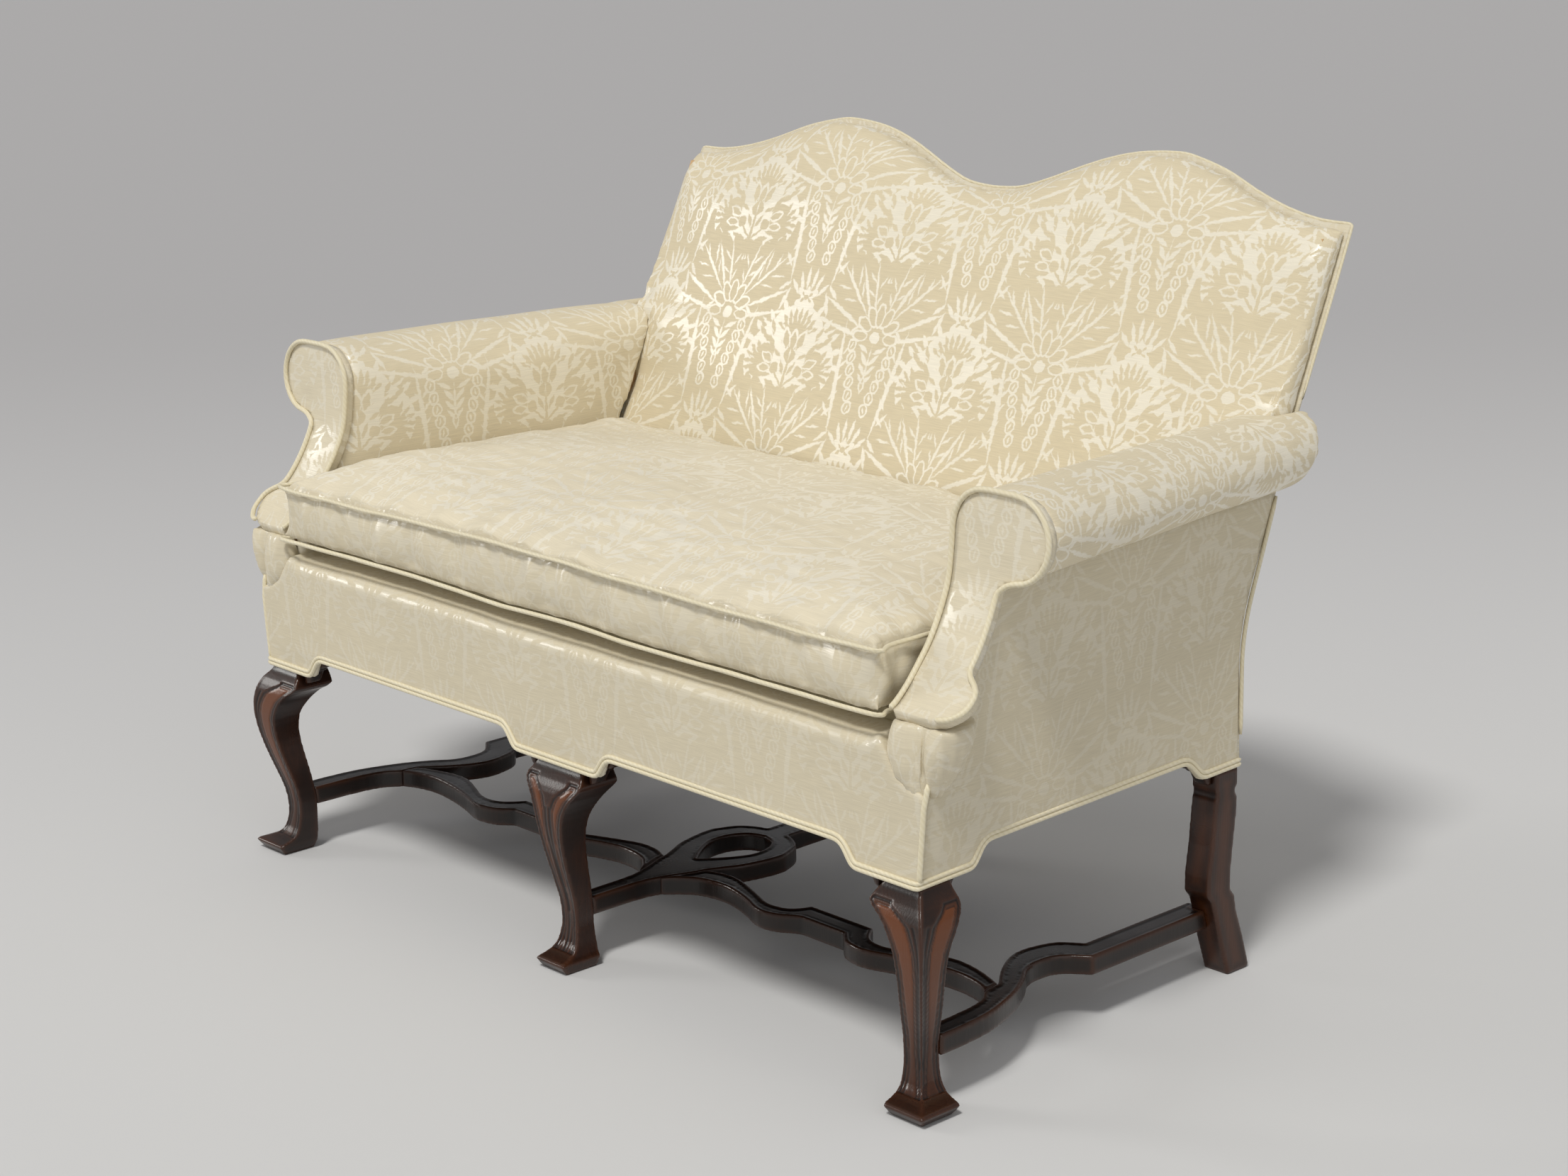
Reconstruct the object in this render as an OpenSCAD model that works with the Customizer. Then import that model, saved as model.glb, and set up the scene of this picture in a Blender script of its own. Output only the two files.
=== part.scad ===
// Two-seat settee with a double-hump back, rolled arms and a loose seat cushion.
// Lengths are millimetres. X is the width, Y runs from front to back, Z is up.
// Places are first worked out with y = 0 on the front border, then moved to the middle of the depth.

/* [Overall] */
// Width of the upholstery at its front corners
front_w = 1210; // [1000:10:1500]
// Depth of the seat, from the front border to the back of the rear rail
seat_d = 563; // [480:1:660]
// How much each side draws in towards the rear
side_taper = 23; // [0:1:40]
// Height of the lowest edge of the upholstery above the floor
leg_h = 260; // [210:1:320]
// Height of the cut-away lower edge above the lappets
lappet_h = 26; // [14:1:40]
// Height of the seat rails
rail_h = 80; // [60:1:100]
// Thickness of the seat rails
rail_t = 32; // [22:1:40]
// Height of the stuffed seat above the rails
deck_h = 62; // [40:1:80]
// Height of the top of the arm above the stuffed seat
arm_h = 246; // [190:1:300]
// Height of the corners of the back above the stuffed seat
back_h = 449; // [380:1:560]

/* [Legs] */
// How far the knee of a front leg stands out from its ankle line
leg_sweep = 20; // [12:1:26]
// Depth of a front leg behind the line of its corner
leg_depth = 35; // [28:1:44]
// How far the line of a front leg stands out past the upholstery at the side
leg_stand = 3; // [0:0.5:6]
// Half the width of the knee of the centre leg
centre_knee_w = 50; // [36:1:60]
// Side of the square block at the top of a front leg
leg_block_w = 46; // [38:1:54]
// Width of a rear leg
rear_leg_w = 38; // [28:1:46]
// Depth of a rear leg
rear_leg_d = 40; // [30:1:50]
// How far the foot of a rear leg kicks back
rear_kick = 28; // [0:1:50]
// Length of a bracket beside a leg
bracket_l = 44; // [30:1:60]
// Height of a bracket
bracket_h = 42; // [26:1:48]
// Thickness of a bracket
bracket_t = 22; // [14:1:28]

/* [Stretchers] */
// Height of the top of the stretchers above the floor
stretcher_top = 84; // [70:1:110]
// Thickness of the stretchers
stretcher_t = 24; // [16:1:30]

/* [Frame] */
// Thickness of the back frame
back_frame_t = 28; // [20:1:32]
// Width of the back posts and of the centre stile
post_w = 32; // [24:1:44]
// Height of the shaped top rail at its lowest place
top_rail_h = 60; // [40:1:90]
// Height of the stuffing rail of the back
stuffing_rail_h = 45; // [30:1:60]
// Depth of an arm post at its top
arm_post_d = 50; // [36:1:70]
// Width of an arm post
arm_post_w = 26; // [18:1:27]
// Width of the board inside an arm
arm_rail_w = 42; // [30:1:43]
// Thickness of the board inside an arm
arm_rail_t = 30; // [20:1:36]
// Side of a corner block
block_w = 60; // [45:1:80]
// Diameter of a corner block screw
screw_d = 5; // [4:0.5:6]
// Length of a corner block screw
screw_l = 48; // [36:1:52]
// Width of a webbing strap
web_w = 50; // [40:1:60]

/* [Upholstery] */
// Thickness of a covered panel, fabric on lining
cover_t = 4; // [3:0.5:6]
// Thickness of the front border in front of its rail
border_t = 8; // [6:1:12]
// Depth of the rolled top of the front border
border_d = 60; // [50:1:80]
// Thickness of the stuffing on the back frame
back_pad_t = 25; // [16:1:36]
// Rake of the back, in millimetres back for each millimetre up
back_rake = 0.44; // [0.3:0.01:0.5]
// Half the width of the back above the arms
back_half_w = 573; // [480:1:700]
// How far the humps of the back rise above its corners
hump_h = 58; // [30:1:90]
// How far the middle of the back dips below its corners
dip_h = 7; // [0:1:20]
// Radius of the arm roll
roll_r = 45; // [36:1:54]
// Thickness of an arm from its inside face to its outside panel
arm_t = 66; // [58:1:76]
// How far the centre of the roll lies outside the outside panel, at the front
roll_out = 23; // [10:1:30]
// How much the overhang of the roll shrinks towards the back
roll_shrink = 20; // [0:1:22]
// How much an arm draws in towards the back, in millimetres per millimetre
arm_splay = 0.0935; // [0:0.005:0.12]
// Thickness of the stuffing inside an arm
arm_pad_t = 16; // [10:1:18]
// Thickness of the padded arm facing
facing_t = 12; // [8:1:14]
// How far the facing stands behind the front border at the top of the arm
facing_back = 112; // [90:1:130]
// Height of the ledge of the facing above the seat rails
ledge_h = 88; // [76:1:110]
// How far the cone scroll stands out past the side
cone_out = 46; // [30:1:54]
// Diameter of the piping cord
piping_d = 5.5; // [4:0.5:7]
// Height of the double welt on the lower edge
welt_h = 11; // [8:1:14]
// Thickness of the double welt
welt_t = 3.5; // [3:0.5:5]

/* [Seat cushion] */
// Height of the cushion between its two seams
boxing_h = 74; // [60:1:100]
// Height of the crown above the top seam
crown_h = 22; // [10:1:40]
// Rise of the bottom seam above the seat
seam_rise = 12; // [8:1:20]
// How far the sides draw in between the seams
draw_in = 4; // [0:1:8]
// Clearance between the piped cushion and an arm
cushion_gap = 7; // [3:1:12]
// How far the cushion stands in front of the border
cushion_front = 9; // [0:1:14]

/* [Hidden] */

walnut = "#4a2c1c";
beech = "#c9a878";
damask = "#e9dfbf";
jute = "#a58a5c";
black_cloth = "#2b2b2b";
steel = "#9a9a98";

// Clearance between pieces that only rest on each other
gap = 0.3;
// Overrun of every cut
over = 1;
// Steps of a smooth curve between two of its points
steps = 4;

// Levels, from the floor up
rail_bottom = leg_h + lappet_h;
rail_top = rail_bottom + rail_h;
seat_z = rail_top + deck_h;
arm_top = seat_z + arm_h;
corner_z = seat_z + back_h;
ledge_z = rail_top + ledge_h;
roll_z = arm_top - roll_r;
arm_foot = roll_z - roll_r;

// Widths of the plan
half_w = front_w / 2;
function side_x(y) = half_w - side_taper * y / seat_d;
arm_face_share = 0.919;
function inside_x(y) = half_w * arm_face_share + arm_splay * (facing_back - y);
function outside_x(y) = inside_x(y) + arm_t;
function roll_x(y) = outside_x(y) + roll_out - roll_shrink * (y - facing_back) / seat_d;

// Outer face of the back: upright at the seat, then bent to the rake
bend_share = 0.16;
bend_start_share = 0.17;
back_bend = seat_d * bend_share;
bend_z = rail_top + rail_h * bend_start_share;
function back_y(z) =
    z <= bend_z ? seat_d
    : z <= bend_z + back_bend ? seat_d + back_rake * pow(z - bend_z, 2) / (2 * back_bend)
    : seat_d + back_rake * (z - bend_z - back_bend / 2);
frame_back = cover_t;
frame_front = cover_t + back_frame_t;
web_t_share = 0.3;
web_t = cover_t * web_t_share;
cavity_front = frame_front + 2 * web_t + gap;
pad_front = frame_front + back_pad_t;
top_z = corner_z + hump_h;
cord_gap = 0.1;
back_levels = [leg_h - lappet_h, bend_z, for (i = [1:5]) bend_z + back_bend * i / 5, top_z + lappet_h];

// The whole object's depth, for its middle
knee_reach_share = 1.25;
depth_front = leg_stand - leg_sweep * knee_reach_share;
depth_back = back_y(top_z + piping_d / 2 + cord_gap) - cover_t / 2 + piping_d / 2 * cos(30);
middle_y = (depth_front + depth_back) / 2;

function smooth_at(a, b, c, d, t) =
    0.5 * (2 * b + (c - a) * t + (2 * a - 5 * b + 4 * c - d) * t * t + (3 * b - a - 3 * c + d) * t * t * t);
function smooth(p, n = steps) = concat(
    [for (i = [0:len(p) - 2])
        let (a = p[max(i - 1, 0)], b = p[i], c = p[i + 1], d = p[min(i + 2, len(p) - 1)])
        for (k = [0:n - 1]) smooth_at(a, b, c, d, k / n)],
    [p[len(p) - 1]]);
function reversed(p) = [for (i = [len(p) - 1:-1:0]) p[i]];
function flipped(p) = [for (q = reversed(p)) [-q[0], q[1]]];
function unit(v) = v / norm(v);

// A slab with its outline in X and Z, or in Y and Z
module slab_y(y0, y1) {
    translate([0, y1, 0])
        rotate([90, 0, 0])
            linear_extrude(height = y1 - y0)
                children();
}
module slab_x(x0, x1) {
    translate([x0, 0, 0])
        rotate([90, 0, 90])
            linear_extrude(height = x1 - x0)
                children();
}

// A solid through a row of rings that have as many points each
module loft(rings, closed = false) {
    m = len(rings[0]);
    n = len(rings);
    last = closed ? n - 1 : n - 2;
    sides = [for (i = [0:last]) for (j = [0:m - 1])
        let (k = (i + 1) % n, l = (j + 1) % m)
        for (face = [[i * m + j, i * m + l, k * m + l], [i * m + j, k * m + l, k * m + j]]) face];
    ends = closed ? [] : [reversed([for (j = [0:m - 1]) j]), [for (j = [0:m - 1]) (n - 1) * m + j]];
    polyhedron([for (ring = rings) for (p = ring) p], concat(sides, ends), convexity = 6);
}

// A cord along a path; side never runs along the path
module cord(path, side, closed = false) {
    n = len(path);
    sides = 6;
    function direction(i) = unit(closed
        ? path[(i + 1) % n] - path[(i + n - 1) % n]
        : path[min(i + 1, n - 1)] - path[max(i - 1, 0)]);
    loft([for (i = [0:n - 1])
        let (t = direction(i), u = unit(cross(t, side)), v = cross(u, t))
        [for (k = [0:sides - 1]) path[i] + piping_d / 2 * (u * cos(360 * k / sides)
        + v * sin(360 * k / sides))]],
        closed);
}

module placed() {
    translate([0, -middle_y, 0])
        children();
}
module on_both_sides() {
    children();
    mirror([1, 0, 0])
        children();
}
module side(name) {
    mirror([name == "left" ? 1 : 0, 0, 0])
        children();
}

// Front legs: two sawn profiles that cross, so the ridge stays on the corner
leg_out_shares = [[0, 0.8], [0.046, 1.25], [0.062, 0.95], [0.085, 0.2], [0.13, -0.2], [0.2, -0.37],
    [0.25, -0.38], [0.33, -0.25], [0.415, 0.05], [0.51, 0.41], [0.62, 0.765], [0.71, 0.955], [0.79, 1],
    [0.87, 0.83], [0.93, 0.45], [0.97, 0], [0.999, -0.15]];
leg_in_shares = [[0, 0.86], [0.05, 1], [0.15, 1.02], [0.265, 1.03], [0.38, 0.94], [0.47, 0.83], [0.57,
    0.71],
    [0.65, 0.66], [0.73, 0.71], [0.785, 0.89], [0.83, 1.11], [0.9, 1.4], [0.93, 1.45], [0.999, 1.4]];
leg_wing_shares = [[0, 0.86], [0.05, 1], [0.15, 1.02], [0.265, 1.03], [0.38, 0.94], [0.47, 0.83], [0.57,
    0.71],
    [0.65, 0.66], [0.73, 0.71], [0.785, 0.89], [0.83, 1.11], [0.87, 1.45], [0.915, 1.94], [0.999, 1.6]];
centre_knee_shares = [[0, 0.46], [0.046, 0.52], [0.062, 0.48], [0.085, 0.42], [0.13, 0.35], [0.2, 0.29],
    [0.25, 0.29], [0.33, 0.3], [0.415, 0.32], [0.51, 0.35], [0.62, 0.4], [0.71, 0.46], [0.79, 0.56],
    [0.85, 0.72], [0.915, 1], [0.95, 0.95], [0.999, 0.82]];

wing_cusp_share = leg_wing_shares[12][1];
inner_cusp_share = leg_in_shares[12][1];

function leg_line(shares, size) = [for (q = smooth(shares, 2)) [q[1] * size, q[0] * leg_h]];
function leg_profile(inner) = concat(
    leg_line(leg_out_shares, leg_sweep),
    reversed([for (q = leg_line(inner, leg_depth)) [-q[0], q[1]]]));

block_outer = half_w - cover_t - side_taper * (border_t + leg_block_w) / seat_d;
// The blocks above the legs reach a little way down into them
block_foot = leg_h * leg_out_shares[16][0] - over;

module corner_leg_shape() {
    translate([half_w + leg_stand, leg_stand, 0])
        intersection() {
            slab_y(-3 * leg_depth, 3 * leg_depth)
                polygon(leg_profile(leg_wing_shares));
            slab_x(-3 * leg_depth, 3 * leg_depth)
                polygon([for (q = reversed(leg_profile(leg_in_shares))) [-q[0], q[1]]]);
        }
    translate([block_outer - leg_block_w, border_t, block_foot])
        cube([leg_block_w, leg_block_w, rail_top - block_foot]);
}
module corner_leg(name) {
    color(walnut)
        placed()
            side(name)
                difference() {
                    corner_leg_shape();
                    front_screws(bore_slack);
                }
}
module front_leg_left() corner_leg("left");
module front_leg_right() corner_leg("right");
centre_block_share = 0.8;
module front_leg_centre() {
    half = leg_line(centre_knee_shares, centre_knee_w);
    color(walnut)
        placed() {
            intersection() {
                slab_y(-3 * leg_depth, 3 * leg_depth)
                    polygon(concat(half, flipped(half)));
                translate([0, leg_stand, 0])
                    slab_x(-2 * centre_knee_w, 2 * centre_knee_w)
                        polygon([for (q = reversed(leg_profile(leg_in_shares))) [-q[0], q[1]]]);
            }
            translate([-leg_block_w / 2, border_t, block_foot])
                cube([leg_block_w, leg_block_w * centre_block_share, rail_bottom - block_foot]);
        }
}

// Rear legs: square, with a moulded cap, a waist and a foot that kicks back
rear_front_shares = [[0, 1], [0.02, 0.98], [0.17, 0.5], [0.31, 0.14], [0.385, -0.1], [0.42, -0.4], [0.51,
    -0.4],
    [0.65, -0.2], [0.77, -0.1], [0.865, 0], [0.88, 0.07], [0.905, 0.07], [0.915, 0], [1, 0]];
rear_back_shares = [[0, 0.96], [0.02, 1], [0.17, 0.57], [0.31, 0.1], [0.385, -0.04], [0.42, -0.32], [0.51,
    -0.32],
    [0.65, -0.18], [0.77, -0.04], [0.865, 0], [0.88, -0.14], [0.905, -0.14], [0.915, 0], [1, 0]];
rear_y = seat_d - cover_t - rear_leg_d;

module rear_leg_shape(x0, top) {
    slab_x(x0, x0 + rear_leg_w)
        polygon(concat(
            [for (q = rear_front_shares) [rear_y + q[1] * rear_kick, q[0] * leg_h]],
            reversed([for (q = rear_back_shares) [rear_y + rear_leg_d + q[1] * rear_kick, q[0] * leg_h]])));
}
rear_block_outer = half_w - side_taper - cover_t - 3 * gap;
module rear_corner_leg(name) {
    color(walnut)
        placed()
            side(name)
                difference() {
                    union() {
                        rear_leg_shape(half_w - side_taper + leg_stand - rear_leg_w);
                        translate([rear_block_outer - rear_leg_w, rear_y, leg_h - over])
                            cube([rear_leg_w, rear_leg_d, rail_top - leg_h + over]);
                    }
                    rear_screws(bore_slack);
                }
}
module rear_leg_left() rear_corner_leg("left");
module rear_leg_right() rear_corner_leg("right");
module rear_leg_centre() {
    color(walnut)
        placed() {
            rear_leg_shape(-rear_leg_w / 2);
            translate([-rear_leg_w / 2, rear_y, leg_h - over])
                cube([rear_leg_w, rear_leg_d, rail_bottom - leg_h + over]);
        }
}

// Stretchers: flat boards, their outlines as shares of half the width and of the seat's depth
side_outer_shares = [[0.999, 0.065], [0.997, 0.137], [0.99, 0.208], [0.977, 0.261], [0.952, 0.332],
    [0.919, 0.394],
    [0.894, 0.43], [0.884, 0.474], [0.894, 0.528], [0.941, 0.572]];
side_inner_shares = [[0.883, 0.617], [0.841, 0.581], [0.823, 0.528], [0.82, 0.483], [0.833, 0.439],
    [0.858, 0.394],
    [0.883, 0.359], [0.9025, 0.332], [0.909, 0.288], [0.932, 0.252], [0.944, 0.19], [0.949, 0.065]];
side_rear_share = 0.945;
side_rear_outer_share = 0.939;
near_left_shares = [[0.026, 0.24], [0.058, 0.279], [0.091, 0.305], [0.14, 0.316], [0.182, 0.314], [0.24,
    0.297],
    [0.289, 0.275], [0.322, 0.27], [0.355, 0.279], [0.38, 0.297], [0.397, 0.306]];
near_right_shares = [[0.516, 0.306], [0.545, 0.279], [0.579, 0.268], [0.612, 0.268], [0.645, 0.279],
    [0.669, 0.288],
    [0.727, 0.304], [0.785, 0.314], [0.826, 0.316], [0.876, 0.306], [0.909, 0.288], [0.95, 0.25]];
far_left_shares = [[0.066, 0.352], [0.1, 0.366], [0.139, 0.369], [0.172, 0.362], [0.238, 0.336], [0.279,
    0.318],
    [0.304, 0.313], [0.337, 0.318], [0.357, 0.336], [0.37, 0.366]];
far_right_shares = [[0.542, 0.366], [0.562, 0.337], [0.582, 0.32], [0.608, 0.313], [0.645, 0.318], [0.694,
    0.341],
    [0.736, 0.36], [0.774, 0.369], [0.826, 0.362], [0.876, 0.345], [0.92, 0.325]];
centre_edge_shares = [[0.021, 0.06], [0.022, 0.195], [0.03, 0.245], [0.045, 0.29], [0.058, 0.325], [0.066,
    0.355],
    [0.083, 0.394], [0.099, 0.43], [0.111, 0.483], [0.116, 0.528], [0.111, 0.554], [0.091, 0.599], [0.058,
    0.625],
    [0.033, 0.634]];
centre_rear_share = 0.031;
ring_hole_shares = [[0, 0.39], [0.02, 0.415], [0.045, 0.455], [0.061, 0.497], [0.056, 0.545], [0.033, 0.58],
    [0, 0.592]];

module board() {
    translate([0, 0, stretcher_top - stretcher_t])
        linear_extrude(height = stretcher_t)
            children();
}
function plan(shares) = [for (q = smooth(shares, 3)) [q[0] * half_w, q[1] * seat_d]];
module side_stretcher_shape() {
    board()
        polygon(concat(
            plan(side_outer_shares),
            [[side_rear_outer_share * half_w, side_rear_share * seat_d],
                [side_inner_shares[0][0] * half_w, side_rear_share * seat_d]],
            plan(side_inner_shares)));
}
module centre_stretcher_shape() {
    edge = plan(centre_edge_shares);
    hole = plan(ring_hole_shares);
    rear = [centre_rear_share * half_w, rear_y + rear_kick];
    board()
        difference() {
            polygon(concat(edge, [rear, [-rear[0], rear[1]]], flipped(edge)));
            polygon(concat(hole, flipped(hole)));
        }
}
module side_stretcher(name) {
    color(walnut)
        placed()
            side(name)
                difference() {
                    side_stretcher_shape();
                    corner_leg_shape();
                    rear_leg_shape(half_w - side_taper + leg_stand - rear_leg_w);
                }
}
module side_stretcher_left() side_stretcher("left");
module side_stretcher_right() side_stretcher("right");
module cross_stretcher(name) {
    color(walnut)
        placed()
            side(name)
                difference() {
                    board()
                        polygon(concat(plan(near_left_shares), plan(near_right_shares),
                            reversed(plan(far_right_shares)), reversed(plan(far_left_shares))));
                    centre_stretcher_shape();
                    side_stretcher_shape();
                }
}
module cross_stretcher_left() cross_stretcher("left");
module cross_stretcher_right() cross_stretcher("right");
module centre_stretcher() {
    color(walnut)
        difference() {
            placed()
                centre_stretcher_shape();
            front_leg_centre();
            rear_leg_centre();
        }
}

// Brackets under the rails, beside the tops of the legs
bracket_shares = [[0, 0], [0, -1], [0.16, -0.95], [0.3, -0.7], [0.38, -0.52], [0.5, -0.55], [0.6, -0.4],
    [0.72, -0.3],
    [0.86, -0.34], [1, -0.22], [1, 0]];
module bracket_outline() {
    polygon([for (q = bracket_shares) [q[0] * bracket_l, rail_bottom + q[1] * bracket_h]]);
}
module leg_brackets() {
    wing = half_w + leg_stand - leg_depth * wing_cusp_share - gap;
    behind = leg_stand + leg_depth * inner_cusp_share + gap;
    inner_face = rail_face(behind) + 2 * cover_t;
    rear_inner = rail_face(rear_y) + 2 * cover_t;
    color(walnut)
        placed()
            on_both_sides() {
                translate([wing, 0, 0])
                    mirror([1, 0, 0])
                        slab_y(border_t, border_t + bracket_t)
                            bracket_outline();
                translate([0, behind, 0])
                    slab_x(inner_face, inner_face + bracket_t)
                        bracket_outline();
                translate([centre_knee_w + gap, 0, 0])
                    slab_y(border_t, border_t + bracket_t)
                        bracket_outline();
                translate([0, rear_y - gap, 0])
                    mirror([0, 1, 0])
                        slab_x(rear_inner, rear_inner + bracket_t)
                            bracket_outline();
                translate([rear_block_outer - rear_leg_w - gap, 0, 0])
                    mirror([1, 0, 0])
                        slab_y(seat_d - cover_t - bracket_t, seat_d - cover_t)
                            bracket_outline();
                translate([rear_leg_w / 2 + gap, 0, 0])
                    slab_y(seat_d - cover_t - bracket_t, seat_d - cover_t)
                        bracket_outline();
            }
}

// Seat frame
rear_rail_y = seat_d - cover_t - rail_t;
module front_rail() {
    inner = block_outer - leg_block_w;
    color(beech)
        placed()
            translate([-inner, border_t, rail_bottom])
                cube([2 * inner, rail_t, rail_h]);
}
module rear_rail() {
    inner = rear_block_outer - rear_leg_w;
    color(beech)
        placed()
            translate([-inner, rear_rail_y, rail_bottom])
                cube([2 * inner, rail_t, rail_h]);
}
module side_rail(name) {
    y0 = border_t + leg_block_w;
    color(beech)
        placed()
            side(name)
                translate([0, 0, rail_bottom])
                    linear_extrude(height = rail_h)
                        polygon([[rail_face(y0), y0], [rail_face(y0) + rail_t, y0],
                            [rail_face(rear_y) + rail_t, rear_y], [rail_face(rear_y), rear_y]]);
}
function rail_face(y) = side_x(y) - cover_t - gap - rail_t;
module side_rail_left() side_rail("left");
module side_rail_right() side_rail("right");
module centre_rail() {
    y0 = border_t + rail_t;
    color(beech)
        placed()
            translate([-rail_t / 2, y0, rail_bottom])
                cube([rail_t, rear_rail_y - y0, rail_h]);
}

block_h_share = 0.7;
block_h = rail_h * block_h_share;
block_z = rail_top - rail_h / 2;
front_y1 = border_t + leg_block_w;
front_x0 = block_outer - leg_block_w;
rear_x0 = rear_block_outer - rear_leg_w;
front_a = [front_x0 - block_w, border_t + rail_t];
front_e = [rail_face(front_y1 + block_w), front_y1 + block_w];
rear_a = [rear_x0 - block_w, rear_rail_y];
rear_e = [rail_face(rear_y - block_w), rear_y - block_w];
bore_slack = 0.1;
head_share = 0.35;

// A pair of screws through a corner block, square to its long face, at half the block's height
module screw_pair(a, e, slack, turn) {
    middle = (a + e) / 2;
    along = atan2((e - a)[1], (e - a)[0]);
    head = screw_d * head_share;
    for (dz = [-block_h / 4, block_h / 4])
        translate([middle[0], middle[1], block_z + dz])
            rotate([0, 0, along + turn])
                rotate([90, 0, 0]) {
                    cylinder(d = screw_d + 2 * slack, h = screw_l + slack, $fn = 24);
                    translate([0, 0, -head])
                        cylinder(d = screw_d * 1.8, h = head, $fn = 24);
                }
}
module front_screws(slack) screw_pair(front_a, front_e, slack, 0);
module rear_screws(slack) screw_pair(rear_a, rear_e, slack, 180);

module corner_blocks() {
    color(beech)
        placed()
            on_both_sides() {
                difference() {
                    translate([0, 0, block_z - block_h / 2])
                        linear_extrude(height = block_h)
                            polygon([front_a, [front_x0, border_t + rail_t], [front_x0, front_y1],
                                [rail_face(front_y1), front_y1], front_e]);
                    front_screws(bore_slack);
                }
                difference() {
                    translate([0, 0, block_z - block_h / 2])
                        linear_extrude(height = block_h)
                            polygon([rear_a, rear_e, [rail_face(rear_y), rear_y], [rear_x0, rear_y],
                                [rear_x0, rear_rail_y]]);
                    rear_screws(bore_slack);
                }
            }
}
module block_screws() {
    color(steel)
        placed()
            on_both_sides() {
                front_screws(0);
                rear_screws(0);
            }
}

// Back frame
hump_shares = [[0, 0], [0.05, 0.02], [0.1, 0.09], [0.18, 0.33], [0.285, 0.68], [0.39, 0.92], [0.5, 1],
    [0.555, 0.955], [0.65, 0.765], [0.735, 0.49], [0.83, 0.245], [0.925, 0.105], [1, 0.108]];
function hump_line(width, drop) = [for (q = smooth(hump_shares, 2))
    [q[0] * width, corner_z - dip_h + q[1] * (hump_h + dip_h) - drop]];
function over_humps(width, drop) = concat(reversed([for (q = hump_line(width, drop)) if (q[0] > 0) [-q[0],
    q[1]]]),
    hump_line(width, drop));
// Halfway points of a line, so that a cut's corners fall between those of the solid that it cuts
function middles(p) = [for (i = [1:len(p) - 1]) (p[i - 1] + p[i]) / 2];
function back_strip(a, b) = concat(
    [for (z = back_levels) [back_y(z) - a, z]],
    reversed([for (z = back_levels) [back_y(z) - b, z]]));
module back_sheet(a, b) {
    slab_x(-front_w, front_w)
        polygon(back_strip(b, a));
}
// The frame keeps inside the rounded free edges of the pad that covers it
edge_round = back_pad_t * 1.2;
post_inset_share = 0.45;
rail_drop_share = 0.3;
post_outer = back_half_w - edge_round * post_inset_share;
rail_drop = pad_front * 0.7 * rail_drop_share;
module top_rail_space() {
    slab_y(0, 2 * seat_d)
        polygon(concat([[-front_w, top_z + top_rail_h]],
            [[-front_w, corner_z - cover_t - top_rail_h]],
            over_humps(back_half_w, cover_t + top_rail_h),
            [[front_w, corner_z - cover_t - top_rail_h]],
            [[front_w, top_z + top_rail_h]]));
}
module back_upright(x0, x1) {
    difference() {
        intersection() {
            back_sheet(frame_back, frame_front);
            slab_y(0, 2 * seat_d)
                polygon([[x0, rail_top], [x1, rail_top], [x1, top_z], [x0, top_z]]);
        }
        top_rail_space();
    }
}
module back_post(name) {
    color(beech)
        placed()
            side(name)
                back_upright(post_outer - post_w, post_outer);
}
module back_post_left() back_post("left");
module back_post_right() back_post("right");
module back_stile() {
    color(beech)
        placed()
            back_upright(-post_w / 2, post_w / 2);
}
module back_top_rail() {
    color(beech)
        placed()
            intersection() {
                back_sheet(frame_back, frame_front);
                slab_y(0, 2 * seat_d)
                    polygon(concat(over_humps(back_half_w, rail_drop + 6 * gap),
                        reversed(over_humps(back_half_w, cover_t + top_rail_h))));
                slab_x(-post_outer, post_outer)
                    polygon([[0, 0], [0, 2 * top_z], [2 * top_z, 2 * top_z], [2 * top_z, 0]]);
            }
}
stuffing_z = seat_z + cover_t;
module back_stuffing_rail() {
    inner = post_outer - post_w;
    color(beech)
        placed()
            intersection() {
                back_sheet(frame_back, frame_front);
                on_both_sides()
                    translate([post_w / 2, 0, stuffing_z])
                        cube([inner - post_w / 2, 2 * seat_d, stuffing_rail_h]);
            }
}

// Arm facing: the path of its front face in Y and Z, from the ledge up to the top of the arm
facing_y_shares = [0.054, 0.125, 0.223, 0.339, 0.464, 0.607, 0.732, 0.839, 0.92, 0.964, 0.991, 1];
facing_z_shares = [-0.01, 0.005, 0.04, 0.095, 0.16, 0.24, 0.332, 0.432, 0.536, 0.664, 0.845, 1];
facing_path = smooth([for (i = [0:11])
    [facing_y_shares[i] * facing_back, ledge_z + facing_z_shares[i] * (arm_top - ledge_z)]], 3);
facing_levels = [for (q = facing_path) [q[1], q[0]]];
arc_step = 18;
facing = concat(
    [for (q = facing_path) if (q[1] < arm_foot - gap) q],
    [for (a = [-90:arc_step:90])
        let (z = roll_z + roll_r * sin(a))
        [lookup(z, facing_levels), z]]);
function facing_normal(i) =
    let (n = len(facing), t = unit(facing[min(i + 1, n - 1)] - facing[max(i - 1, 0)]))
    [t[1], -t[0]];
function behind_facing(i, depth) = facing[i] + depth * facing_normal(i);
facing_last = len(facing) - 1;

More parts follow.
